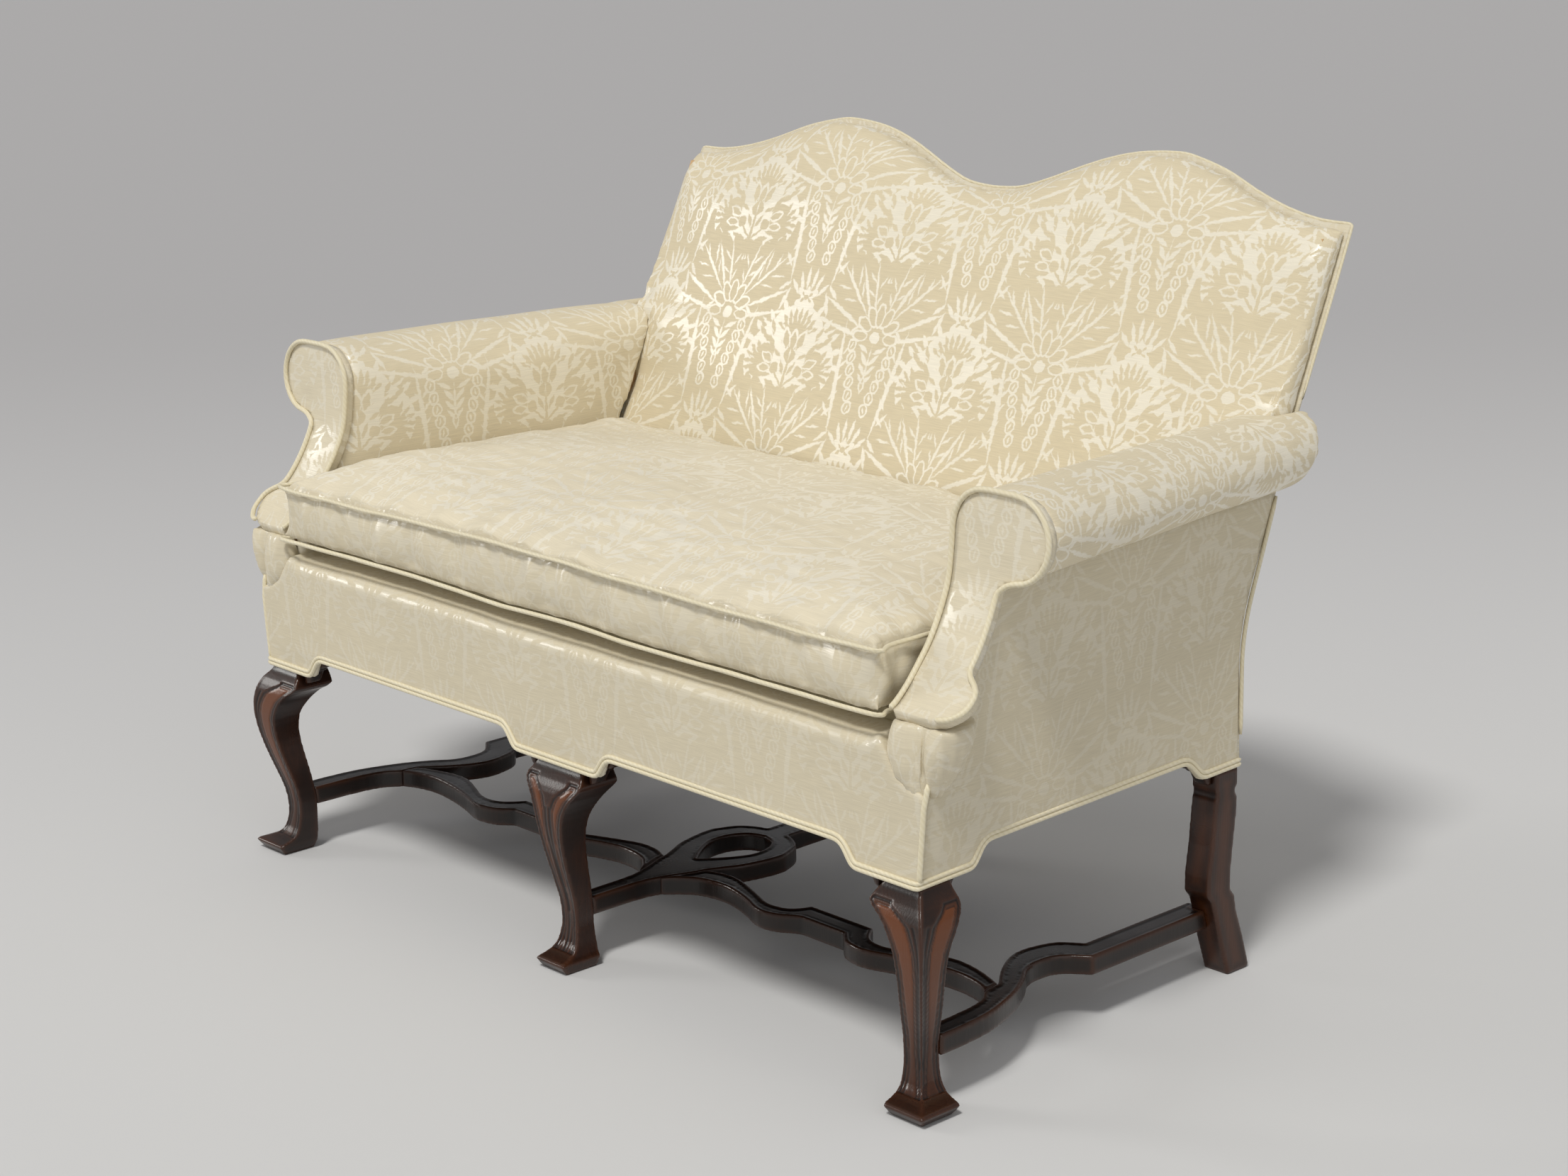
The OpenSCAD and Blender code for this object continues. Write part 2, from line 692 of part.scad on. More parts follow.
// Lobe of the ledge and fillet under the roll, as shares
lobe_shares = [[0.054, -0.6], [0.09, 0.08], [0.125, 0.33], [0.2, 0.75], [0.27, 0.96], [0.34, 1], [0.4,
    0.83],
    [0.446, 0.42], [0.482, 0]];
fillet_shares = [[-0.4, 0], [-0.25, 0.09], [-0.11, 0.35], [0, 1]];
lobe_share = 0.52;
lobe_out = cone_out * lobe_share;
function roll_half(z) = sqrt(max(roll_r * roll_r - pow(z - roll_z, 2), 0));
function facing_inner(p) = inside_x(p[0]) + (p[1] > roll_z ? roll_r - roll_half(p[1]) : 0);
function facing_outer(p) =
    p[1] > arm_foot - gap ? roll_x(p[0]) + roll_half(p[1])
    : p[0] < lobe_shares[8][0] * facing_back
        ? outside_x(p[0]) + lobe_out * lookup(p[0] / facing_back, lobe_shares)
    : outside_x(p[0]) + (roll_x(p[0]) - outside_x(p[0])) * lookup((p[1] - arm_foot) / roll_r,
        fillet_shares);
module arm_facing(name) {
    color(damask)
        placed()
            side(name)
                loft([for (i = [0:facing_last])
                    let (p = facing[i], q = behind_facing(i, facing_t))
                    [[facing_inner(p), p[0], p[1]], [facing_inner(p), q[0], q[1]],
                        [facing_outer(p), q[0], q[1]], [facing_outer(p), p[0], p[1]]]]);
}
module arm_facing_left() arm_facing("left");
module arm_facing_right() arm_facing("right");

// Arm frame
post_x = inside_x(facing_back) + arm_pad_t + gap;
post_foot_y = border_t + facing_t;
post_back = facing_back + facing_t + arm_post_d;
// The corner under the first of these points stays clear of the facing
facing_front = [for (i = [0:facing_last])
    let (q = behind_facing(i, facing_t + gap))
    if (q[0] > post_foot_y) q];
foot_top = facing_front[0][1] - (facing_front[0][0] - post_foot_y);
post_top = arm_foot - arm_rail_t;
module arm_post(name) {
    front = [for (q = facing_front) if (q[1] < post_top) q];
    color(beech)
        placed()
            side(name)
                slab_x(post_x, post_x + arm_post_w)
                    polygon(concat([[post_foot_y, rail_top], [post_foot_y, foot_top]], front,
            [[behind_y(post_top), post_top], [post_back, post_top], [post_back, rail_top]]));
}
module arm_post_left() arm_post("left");
module arm_post_right() arm_post("right");

arm_start = facing_back + facing_t + gap;
arm_end = back_y(arm_top) + cover_t;
module arm_rail_shape(slack) {
    loft([for (y = [arm_end, arm_start - slack])
        let (x0 = inside_x(y) + arm_pad_t + gap - slack, x1 = x0 + arm_rail_w + 2 * slack)
        [[x0, y, post_top - slack], [x0, y, arm_foot + slack], [x1, y, arm_foot + slack],
            [x1, y, post_top - slack]]]);
}
// Everything behind a plane that follows the back, a given distance in front of its outer face
module behind_back(depth, half) {
    slab_x(-half, half)
        polygon(concat([for (z = back_levels) [back_y(z) - depth, z]],
            [[3 * seat_d, top_z + lappet_h], [3 * seat_d, leg_h - lappet_h]]));
}
module arm_rail(name) {
    color(beech)
        placed()
            side(name)
                difference() {
                    arm_rail_shape(0);
                    behind_back(frame_front, front_w);
                }
}
module arm_rail_left() arm_rail("left");
module arm_rail_right() arm_rail("right");

pad_bottom = rail_top + 3 * web_t + gap;

// A solid between a front and a rear row of levels, each level a left and a right point
module ladder(front, rear) {
    n = len(front);
    ring = 2 * n;
    function pick(rows) = concat([for (r = rows) r[0]], [for (r = reversed(rows)) r[1]]);
    sides = [for (j = [0:ring - 1])
        let (l = (j + 1) % ring)
        for (face = [[j, l, ring + l], [j, ring + l, ring + j]]) face];
    rungs = [for (i = [0:n - 2])
        let (a = i, b = i + 1, c = ring - 2 - i, d = ring - 1 - i)
        for (face = [[a, d, b], [d, c, b]]) face];
    polyhedron(concat(pick(rear), pick(front)),
        concat(sides,
            [for (f = rungs) reversed(f)],
            [for (f = rungs) [for (i = f) ring + i]]), convexity = 6);
}
behind_levels = [for (q = facing_front) [q[1], q[0]]];
function behind_y(z) = lookup(z, behind_levels);
arcs = [-90:arc_step:90];
pad_levels = concat([pad_bottom, bend_z, bend_z + back_bend / 2],
    [for (q = facing_front) if (q[1] > bend_z + back_bend / 2 + over && q[1] < arm_foot - over) q[1]],
    [arm_foot]);
function arm_levels(at) = concat(
    [for (z = pad_levels)
        let (y = at(z), x = inside_x(y))
        [[x, y, z], [min(x + arm_pad_t, post_x - gap), y, z]]],
    [for (a = arcs)
        let (z = roll_z + roll_r * sin(a), zl = z + (a < -80 ? gap : 0), y = at(z), yl = at(zl))
        [[inside_x(yl) + (a > 0 ? roll_r * (1 - cos(a)) : 0), yl, zl], [roll_x(y) + roll_r * cos(a), y,
        z]]]);
function end_levels(at) = [for (a = arcs)
    let (z = roll_z + roll_r * sin(a), y = at(z), x = back_half_w + gap)
    [[x, y, z], [max(roll_x(y) + roll_r * cos(a), x + gap), y, z]]];
module arm_roll(name) {
    color(damask)
        placed()
            side(name) {
                ladder(arm_levels(function (z) behind_y(z)),
                    arm_levels(function (z) back_y(z) - pad_front - gap));
                ladder(end_levels(function (z) back_y(z) - pad_front), end_levels(function (z) back_y(z)));
            }
}
module arm_roll_left() arm_roll("left");
module arm_roll_right() arm_roll("right");

// Lower edges of the covers, shares of the width or depth and of the lappets' height
front_edge_shares = [[0, 0], [0.126, 0], [0.139, 0.12], [0.155, 0.88], [0.168, 1], [0.803, 1], [0.816,
    0.88],
    [0.832, 0.12], [0.845, 0], [1, 0]];
side_edge_shares = [[0, 0], [0.155, 0], [0.168, 0.12], [0.187, 0.88], [0.2, 1], [0.81, 1], [0.825, 0.88],
    [0.86, 0.12], [0.876, 0], [1, 0]];
function lower_edge(half) = [for (q = front_edge_shares) [q[0] * half, leg_h + q[1] * lappet_h]];
side_edge = [for (q = side_edge_shares) [q[0] * seat_d, leg_h + q[1] * lappet_h]];
function across(edge) = concat([for (q = reversed(edge)) if (q[0] > 0) [-q[0], q[1]]], edge);

// Front border: a skin in front of the rail with a stuffed roll at the top
border_top = seat_z - over;
border_round = border_d * 0.3;
function border_right() = concat(lower_edge(half_w), [[half_w, rail_top - lappet_h * 0.1],
    [half_w * 0.947, rail_top + lappet_h * 0.7], [half_w * 0.91, border_top - lappet_h * 0.5],
    [half_w * 0.9, border_top - lappet_h * 0.12], [half_w * 0.885, border_top]]);
module border_outline() {
    right = border_right();
    left = [for (q = reversed(right)) if (q[0] > 0) [-q[0], q[1]]];
    polygon(concat(right, left));
}
border_roll_half = inside_x(border_d) - gap;
module front_border() {
    color(damask)
        placed()
            difference() {
                intersection() {
                    slab_y(0, border_d)
                        border_outline();
                    slab_x(-half_w, half_w)
                        polygon(concat([[0, leg_h - over]],
                            [for (a = [180:-15:90]) [border_round + border_round * cos(a),
                                border_top - border_round + border_round * sin(a)]],
                            [[border_d, border_top], [border_d, pad_bottom], [border_t, pad_bottom],
                                [border_t, leg_h - over]]));
                }
                on_both_sides()
                    translate([border_roll_half, border_t, pad_bottom - over])
                        cube([half_w, border_d, deck_h]);
            }
}

// Outside panel of an arm: a flat sheet that leans out towards the top
function panel_x(y, z) = side_x(y) + (outside_x(y) - side_x(y)) * (z - leg_h) / (arm_foot - leg_h);
panel_steps = 12;
module panel_sheet(a, b, z0, z1) {
    loft([for (i = [panel_steps:-1:0])
        let (y = -lappet_h + (arm_end + lappet_h) * i / panel_steps)
        [[panel_x(y, z0) + a, y, z0], [panel_x(y, z1) + a, y, z1], [panel_x(y, z1) + b, y, z1],
            [panel_x(y, z0) + b, y, z0]]]);
}
module outside_arm(name) {
    rear = [for (z = back_levels) if (z > leg_h && z < arm_foot) [back_y(z) - cover_t, z]];
    front = [for (q = facing_front) if (q[1] < arm_foot) q];
    edge = concat([[border_t, leg_h]], [for (q = side_edge) if (q[0] > border_t && q[0] < seat_d) q]);
    color(damask)
        placed()
            side(name)
                intersection() {
                    panel_sheet(-cover_t, 0, leg_h, arm_foot);
                    slab_x(0, front_w)
                        polygon(concat(edge, [[seat_d - cover_t, leg_h]], rear,
                            [[back_y(arm_foot) - cover_t, arm_foot], [front[len(front) - 1][0], arm_foot]],
                            reversed(front),
                            [[post_foot_y, foot_top], [post_foot_y, rail_top], [border_t, rail_top]]));
                }
}
module outside_arm_left() outside_arm("left");
module outside_arm_right() outside_arm("right");

// Back covers
rear_half = half_w - side_taper;
module outside_back() {
    right = concat(lower_edge(rear_half), [[back_half_w, arm_foot]]);
    left = [for (q = reversed(right)) if (q[0] > 0) [-q[0], q[1]]];
    color(damask)
        placed()
            intersection() {
                back_sheet(0, cover_t);
                slab_y(0, 2 * seat_d)
                    polygon(concat(right, reversed(over_humps(back_half_w, 0)), left));
            }
}

// Stuffed inside of the back: rounded over its top and its free sides, square between the arms
crown_loss_share = 0.2;
top_round = pad_front * 0.7;
skin = cover_t + gap;
function edge_depth(x) =
    let (u = max(abs(x) - back_half_w + edge_round, 0) / edge_round,
        full = pad_front * (1 - crown_loss_share * pow(x / back_half_w, 4)))
    skin + gap + (full - skin - gap) * sqrt(max(1 - u * u, 0));
// Beside the arms the pad begins at the height of the arm panels
side_foot = arm_foot + 2 * over;
pad_inner = arm_top - piping_d;
flat = back_half_w - edge_round;
function lifted(x, z) =
    abs(x) <= flat || z >= pad_inner ? z
    : side_foot + (z - pad_bottom) * (pad_inner - side_foot) / (pad_inner - pad_bottom);
function inside_ring(x, t) =
    let (d = edge_depth(x), low = arm_top - 2 * gap, inner = arm_top - piping_d)
    concat(
        [for (z = [t, t - top_round, low, inner, bend_z + back_bend, bend_z + back_bend / 2, bend_z,
        pad_bottom])
            let (h = lifted(x, z))
            [x, back_y(h) - skin, h]],
        [for (z = [pad_bottom, bend_z, bend_z + back_bend / 2, bend_z + back_bend, seat_z + arm_h / 2,
        inner])
            let (h = lifted(x, z))
            [x, back_y(h) - pad_front, h]],
        [for (z = [low, (low + t - top_round) / 2]) [x, back_y(z) - d, z]],
        [for (a = [90:-18:18])
            let (z = t - top_round * (1 - cos(a)))
            [x, back_y(z) - skin - (d - skin) * sin(a), z]]);
module inside_back() {
    tops = over_humps(back_half_w, 0);
    ends = concat([flat, flat + over], [for (a = [22.5:22.5:90]) flat + edge_round * sin(a)]);
    stations = concat(
        [for (u = reversed(ends)) -u],
        [for (q = tops) if (abs(q[0]) < flat - over) q[0]],
        ends);
    inner = post_outer + gap;
    color(damask)
        placed()
            difference() {
                loft([for (x = stations) inside_ring(x, lookup(x, tops))]);
                intersection() {
                    back_sheet(-cover_t, cavity_front);
                    slab_y(0, 2 * seat_d)
                        polygon(concat([[front_w, leg_h], [-front_w, leg_h], [-front_w,
                            corner_z - cover_t]],
                            middles(over_humps(back_half_w, rail_drop - gap)),
                            [[front_w, corner_z - cover_t]]));
                    slab_x(-inner, inner)
                        polygon([[0, 0], [0, 2 * top_z], [2 * top_z, 2 * top_z], [2 * top_z, 0]]);
                }
                on_both_sides() {
                    translate([flat - over, 0, pad_bottom - over])
                        cube([3 * over, 2 * seat_d, side_foot - pad_bottom]);
                    arm_rail_shape(gap);
                }
            }
}

// Cone scroll under the ledge of a facing, wrapped round the front corner of the arm
cone_top = ledge_z - facing_t - 6 * gap;
cone_bottom = rail_top + gap;
cone_levels = [0, 0.06, 0.16, 0.32, 0.53, 0.75, 0.9, 1];
cone_side_shares = [[0, 0.12], [0.06, 0.2], [0.16, 0.3], [0.32, 0.4], [0.53, 0.52], [0.75, 0.66], [0.9,
    0.76], [1, 0.8]];
cone_left_shares = [[0, 0.2], [0.06, 0.38], [0.16, 0.8], [0.32, 1], [1, 1]];
cone_rear_shares = [[0, 0.12], [0.06, 0.2], [0.16, 0.28], [0.32, 0.46], [0.53, 0.66], [0.75, 0.84], [0.9,
    0.95], [1, 1]];
cone_rear = border_d - border_t;
cone_least = facing_t / 3;
cone_left = half_w - inside_x(facing_back) - arm_pad_t / 2;
// Outline of the two puffs, from the inner edge at the front, past the gather, to the rear of the side puff
puff_shares = [[-1, 0, 0.35], [-0.72, 0, 0.1], [-0.4, 0, 0.06], [-0.14, 0, 0.3], [0, 0.06, 0.62], [0.1,
    0.35, 0.34],
    [0.1, 0.75, 0.24], [0, 1, 0.6], [0.2, 1, 0.9], [0.5, 0.93, 1], [0.8, 0.62, 1], [1, 0.16, 1]];
// The inner puff stands on the sloping end of the front border
border_end = [for (q = border_right()) if (q[1] > leg_h + lappet_h) [q[1], q[0]]];
function cone_ring(t) =
    let (z = cone_bottom + t * (cone_top - cone_bottom),
        left = min(cone_left * lookup(t, cone_left_shares), half_w - lookup(z, border_end) - 4 * gap),
        out = cone_out * lookup(t, cone_side_shares),
        rear = cone_rear * lookup(t, cone_rear_shares),
        y0 = post_foot_y - gap,
        depth = border_t + gap)
    concat(
        [for (i = [0:6])
            let (q = puff_shares[i])
            [half_w + (q[0] < 0 ? q[0] * left : q[0] * out + q[1] * out),
            y0 - (1 - q[2]) * (y0 - depth * 0.2), z]],
        [for (i = [7:11])
            let (q = puff_shares[i], y = y0 + q[0] * rear)
            [panel_x(y, z) + gap + q[1] * max(out + half_w - panel_x(y, z) - gap, cone_least), y, z]],
        [[panel_x(y0 + rear, z) + gap, y0 + rear, z], [panel_x(y0, z) + gap, y0, z],
            [half_w - left, y0, z]]);
module arm_cone(name) {
    color(damask)
        placed()
            side(name)
                loft([for (t = cone_levels) reversed(cone_ring(t))]);
}
module arm_cone_left() arm_cone("left");
module arm_cone_right() arm_cone("right");

// Piping round an arm facing
cord_out = (piping_d / 2 + cord_gap) * 0.78;
function inner_out(p) = p[1] > roll_z ? unit([facing_inner(p) - inside_x(p[0]) - roll_r,
    p[1] - roll_z]) : [-1, 0];
function outer_out(p) =
    p[1] > roll_z - roll_r * 0.9 ? unit([facing_outer(p) - roll_x(p[0]), p[1] - roll_z])
    : p[1] > arm_foot - roll_r * 0.4 ? unit([1, -1])
    : [1, 0];
function edge_point(x, i, out) =
    let (p = facing[i], n = facing_normal(i))
    [x + cord_out * out[0], p[0] - cord_out * n[0], p[1] - cord_out * n[1] + cord_out * out[1]];
module facing_piping(name) {
    path = concat(
        [for (i = [1:facing_last]) edge_point(facing_inner(facing[i]), i, inner_out(facing[i]))],
        [for (i = [facing_last:-1:1]) edge_point(facing_outer(facing[i]), i, outer_out(facing[i]))]);
    color(damask)
        placed()
            side(name)
                cord(path, [0, -1, 0.4]);
}
module facing_piping_left() facing_piping("left");
module facing_piping_right() facing_piping("right");

// Piping along the outer edge of the back
module back_piping() {
    tops = over_humps(back_half_w, 0);
    off = piping_d / 2 + cord_gap;
    n = len(tops);
    level = function (z) back_y(z) - cover_t / 2;
    top = [for (i = [0:n - 1])
        let (t = unit(tops[min(i + 1, n - 1)] - tops[max(i - 1, 0)]), x = tops[i][0] - t[1] * off,
            z = tops[i][1] + t[0] * off)
        [x, level(z), z]];
    side_low = arm_top + off;
    side_x0 = back_half_w + off;
    corner = corner_z - off;
    path = concat(
        [[-side_x0, level(side_low), side_low], [-side_x0, level(corner), corner],
            [-side_x0, level(corner_z), corner_z]],
        top,
        [[side_x0, level(corner_z), corner_z], [side_x0, level(corner), corner],
            [side_x0, level(side_low), side_low]]);
    color(damask)
        placed()
            cord(path, [0, 1, 0]);
}

// Double welt along the lower edge
module hem_welt() {
    front = across(lower_edge(half_w));
    rear = across(lower_edge(rear_half));
    color(damask)
        placed() {
            slab_y(-welt_t, 0)
                polygon(concat(front, [for (q = reversed(front)) [q[0], q[1] + welt_h]]));
            slab_y(seat_d, seat_d + welt_t)
                polygon(concat(rear, [for (q = reversed(rear)) [q[0], q[1] + welt_h]]));
            on_both_sides()
                loft([for (q = reversed(side_edge))
                    let (y = q[0], z0 = q[1], z1 = q[1] + welt_h, a = gap, b = gap + welt_t)
                    [[panel_x(y, z0) + a, y, z0], [panel_x(y, z1) + a, y, z1], [panel_x(y, z1) + b, y, z1],
                        [panel_x(y, z0) + b, y, z0]]]);
        }
}

// Webbing, hessian, stuffed deck and dust cloth
web_half = post_x - 2 * gap;
web_front = border_t + rail_t * 0.4;
web_rear = seat_d - frame_front - 2 * gap;
lengthwise = 4;
crosswise = 8;
module seat_webbing() {
    span = web_rear - web_front;
    color(jute)
        placed() {
            for (i = [0:lengthwise - 1])
                translate([-web_half, web_front + span * (i + 0.5) / lengthwise - web_w / 2, rail_top])
                    cube([2 * web_half, web_w, web_t]);
            for (i = [0:crosswise - 1])
                translate([half_w * 0.86 * (2 * i + 1 - crosswise) / crosswise - web_w / 2, web_front,
                    rail_top + web_t])
                    cube([web_w, span, web_t]);
        }
}
module seat_hessian() {
    color(jute)
        placed()
            translate([-web_half, web_front, rail_top + 2 * web_t])
                cube([2 * web_half, web_rear - web_front, web_t]);
}
deck_front = border_d + gap;
deck_rear = seat_d - pad_front - gap;
module seat_deck() {
    front = inside_x(deck_front) - gap;
    rear = inside_x(deck_rear) - gap;
    color(damask)
        placed()
            translate([0, 0, rail_top + 3 * web_t])
                linear_extrude(height = deck_h - 3 * web_t)
                    polygon([[-front, deck_front], [-rear, deck_rear], [rear, deck_rear], [front,
                        deck_front]]);
}
module dust_cloth() {
    y0 = border_t + leg_block_w + gap;
    y1 = rear_y - gap;
    lap = cover_t;
    color(black_cloth)
        placed()
            translate([0, 0, rail_bottom - web_t])
                linear_extrude(height = web_t)
                    polygon([[-rail_face(y0) - lap, y0], [-rail_face(y1) - lap, y1], [rail_face(y1) + lap,
                        y1],
                        [rail_face(y0) + lap, y0]]);
}
stile_half = post_w / 2;
module back_webbing() {
    inner = post_outer - post_w;
    lap = post_w * 0.6;
    color(jute)
        placed() {
            intersection() {
                back_sheet(frame_front, frame_front + web_t);
                slab_y(0, 2 * seat_d)
                    polygon(concat([[-front_w, stuffing_z + cover_t], [-front_w, corner_z - top_rail_h]],
                        over_humps(back_half_w, cover_t + top_rail_h - lap),
                        [[front_w, corner_z - top_rail_h], [front_w, stuffing_z + cover_t]]));
                on_both_sides()
                    for (k = [0.25, 0.5, 0.75])
                        translate([inner * k - web_w / 2, 0, 0])
                            cube([web_w, 2 * seat_d, top_z]);
            }
            intersection() {
                back_sheet(frame_front + web_t, frame_front + 2 * web_t);
                for (k = [0.5, 0.72])
                    translate([-inner - lap, 0, seat_z + (corner_z - seat_z) * k])
                        cube([2 * (inner + lap), 2 * seat_d, web_w]);
            }
        }
}

// Loose seat cushion: boxed, piped and crowned
under = seat_z + gap;
seam_low = seat_z + seam_rise;
seam_high = seam_low + boxing_h;
side_gap = cushion_gap + piping_d + cord_gap;
back_gap = cushion_gap * 0.2 + piping_d + cord_gap;
cushion_straight = facing_back;
ear = cushion_gap * 1.9;
function cushion_x(y) = inside_x(max(y, cushion_straight)) - side_gap;
function cushion_rear(z) = back_y(z) - pad_front - back_gap;
corner_r = boxing_h * 0.3;
cushion_face = piping_d + cord_gap - cushion_front;
side_shares = [0.04, 0.1, 0.2, 0.36, 0.52, 0.68, 0.82, 0.93];
// Right half of the outline, from the middle of the front round to the middle of the rear; the sides
// pull in between the corners
function pulled(k) = draw_in * 0.6 * (1 - k * k);
function cushion_right(z) =
    let (rear = cushion_rear(z), x1 = cushion_x(rear), x0 = cushion_x(0) + ear)
    concat(
        [for (k = [0, 0.16, 0.32, 0.48, 0.64, 0.8, 0.92]) [k * x0, cushion_face + pulled(k)]],
        [[x0 - ear * 0.25, cushion_face + ear * 0.1], [x0 - ear * 0.02, cushion_face + ear * 0.35],
            [x0 - ear * 0.55, cushion_face + ear * 0.85]],
        [for (k = side_shares) [cushion_x(k * rear) - pulled(2 * k - 1), k * rear]],
        [for (a = [0:22.5:90])
            [cushion_x(rear - corner_r) - corner_r + corner_r * cos(a),
            rear - corner_r + corner_r * sin(a)]],
        [for (k = [0.86, 0.7, 0.54, 0.36, 0.18, 0]) [k * x1, rear - pulled(k)]]);
function cushion_outline(z) =
    let (right = cushion_right(z), n = len(right))
    concat(right, [for (i = [n - 2:-1:1]) [-right[i][0], right[i][1]]]);
cushion_cy = (cushion_rear(seam_low) + cushion_face) / 2;
cushion_hx = cushion_x(0) + ear;
cushion_hy = (cushion_rear(seam_low) - cushion_face) / 2;
function inset_ring(z, d, seam) =
    [for (q = cushion_outline(seam))
        [q[0] * (1 - d / cushion_hx), cushion_cy + (q[1] - cushion_cy) * (1 - d / cushion_hy), z]];
// Height shares and insets of the rings of the underside and of the crown
under_rings = [[0, 0.62], [0.06, 0.4], [0.3, 0.2], [0.62, 0.07]];
crown_rings = [[0.26, 0.04], [0.54, 0.13], [0.78, 0.3], [0.94, 0.54], [1, 0.84]];
boxing_rings = [[0.15, 0.7], [0.5, 1], [0.85, 0.7]];
module seat_cushion() {
    rings = concat(
        [for (q = under_rings) inset_ring(under + q[0] * (seam_low - under), q[1] * cushion_hy, seam_low)],
        [inset_ring(seam_low, 0, seam_low)],
        [for (q = boxing_rings)
            let (z = seam_low + q[0] * boxing_h)
            inset_ring(z, q[1] * draw_in, z)],
        [inset_ring(seam_high, 0, seam_high)],
        [for (q = crown_rings) inset_ring(seam_high + q[0] * crown_h, q[1] * cushion_hy, seam_high)]);
    color(damask)
        placed()
            loft([for (ring = rings) reversed(ring)]);
}
module cushion_piping() {
    off = piping_d / 2 + cord_gap;
    color(damask)
        placed()
            for (z = [seam_low, seam_high]) {
                outline = cushion_outline(z);
                n = len(outline);
                path = [for (i = [0:n - 1])
                    let (t = unit(outline[(i + 1) % n] - outline[(i + n - 1) % n]))
                    [outline[i][0] + t[1] * off, outline[i][1] - t[0] * off, z]];
                cord(path, [0, 0, 1], true);
            }
}

front_leg_left();
front_leg_centre();
front_leg_right();
rear_leg_left();
rear_leg_centre();
rear_leg_right();
side_stretcher_left();
side_stretcher_right();
cross_stretcher_left();
cross_stretcher_right();
centre_stretcher();
leg_brackets();
front_rail();
rear_rail();
side_rail_left();
side_rail_right();
centre_rail();
corner_blocks();
block_screws();
back_post_left();
back_post_right();
back_stile();
back_top_rail();
back_stuffing_rail();
arm_post_left();
arm_post_right();
arm_rail_left();
arm_rail_right();
seat_webbing();
back_webbing();
seat_hessian();
seat_deck();
dust_cloth();
front_border();
outside_arm_left();
outside_arm_right();
outside_back();
inside_back();
arm_roll_left();
arm_roll_right();
arm_facing_left();
arm_facing_right();
arm_cone_left();
arm_cone_right();
facing_piping_left();
facing_piping_right();
back_piping();
hem_welt();
seat_cushion();
cushion_piping();
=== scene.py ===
"""A two hump settee in silk damask on six walnut legs: the pieces that show, their finishes and the studio."""

import math

import bmesh
import bpy
import numpy as np
from bpy.props import FloatProperty, PointerProperty, StringProperty
from mathutils import Matrix, Vector
from mathutils.kdtree import KDTree


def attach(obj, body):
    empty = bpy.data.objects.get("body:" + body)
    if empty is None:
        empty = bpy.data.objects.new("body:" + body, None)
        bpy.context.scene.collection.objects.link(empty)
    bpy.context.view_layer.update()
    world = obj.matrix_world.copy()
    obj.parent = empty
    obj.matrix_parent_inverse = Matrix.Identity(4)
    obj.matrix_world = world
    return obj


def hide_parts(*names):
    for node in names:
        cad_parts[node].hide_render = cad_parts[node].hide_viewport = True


bl_info = {
    "name": "Damask settee",
    "version": (1, 0, 0),
    "blender": (4, 5, 0),
    "location": "View3D > Sidebar > Settee",
    "description": "Dresses the packed settee frame in damask and carved walnut",
    "category": "Object",
}

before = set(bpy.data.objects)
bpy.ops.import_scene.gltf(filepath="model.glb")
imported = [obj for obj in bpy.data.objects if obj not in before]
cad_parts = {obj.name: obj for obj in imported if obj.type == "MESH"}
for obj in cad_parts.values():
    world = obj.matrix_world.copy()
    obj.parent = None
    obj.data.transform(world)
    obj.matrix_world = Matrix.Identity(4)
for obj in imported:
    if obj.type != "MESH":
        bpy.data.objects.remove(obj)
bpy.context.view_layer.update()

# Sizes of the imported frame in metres: from the front of the seat to the middle of the settee, height of the legs,
# depth of the seat, half its width in front, how much narrower each side is behind, how far the outside arm leans
# out over its height, how thick an arm is at the top, and how far its front lies behind the seat's
MIDDLE = 0.383597
LEG_HEIGHT = 0.26
SEAT_DEPTH = 0.563
HALF_FRONT = 0.605
NARROWER = 0.023
ARM_LEAN, ARM_HEIGHT = 0.0275, 0.324
ARM_THICK, ARM_SET_BACK = 0.066, 0.112
# The back rises straight, bends between two heights and then leans by its rake
BEND_FROM, BEND_TO, RAKE = 0.3796, 0.46968, 0.44
# Height of the cushion's underside, and a height about half-way between its two seams
UNDERSIDE, BETWEEN_SEAMS = 0.4284, 0.475
COARSER = 1.0
# What makes a property a length
METRES = {"subtype": "DISTANCE", "unit": "LENGTH"}


class SetteeSizes(bpy.types.PropertyGroup):
    cushion_swell: FloatProperty(
        name="Cushion swell", description="Furthest that the filling pushes the seat cushion out",
        default=0.024, min=0, max=0.03, **METRES,
    )
    back_swell: FloatProperty(
        name="Back swell", description="Furthest that the filling pushes the inside back out",
        default=0.009, min=0, max=0.02, **METRES,
    )
    arm_swell: FloatProperty(
        name="Arm swell", description="Furthest that the filling pushes an arm out",
        default=0.006, min=0, max=0.012, **METRES,
    )
    repeat: FloatProperty(
        name="Repeat", description="Height of one repeat of the damask",
        default=0.38, min=0.2, max=0.8, **METRES,
    )
    cut_depth: FloatProperty(
        name="Carving depth", description="Depth of the incised lines on the legs",
        default=0.0017, min=0, max=0.003, **METRES,
    )


class SetteeColours(bpy.types.PropertyGroup):
    ground: StringProperty(
        name="Satin ground", description="Colour of the shiny ground of the damask, sRGB hex", default="#e9e2cf"
    )
    figure: StringProperty(
        name="Matt figure", description="Colour of the matt leaves of the damask, sRGB hex", default="#d6c9aa"
    )
    walnut: StringProperty(name="Walnut", description="Colour of the polished legs, sRGB hex", default="#3d2215")
    # The darker walnut of the stretchers and brackets is painted shade
    walnut_in_shade: StringProperty(
        name="Dark walnut", description="Colour of the hollows and stretchers, sRGB hex", default="#120a07"
    )
    floor: StringProperty(name="Floor", description="Colour of the studio floor, sRGB hex", default="#b0afb0")


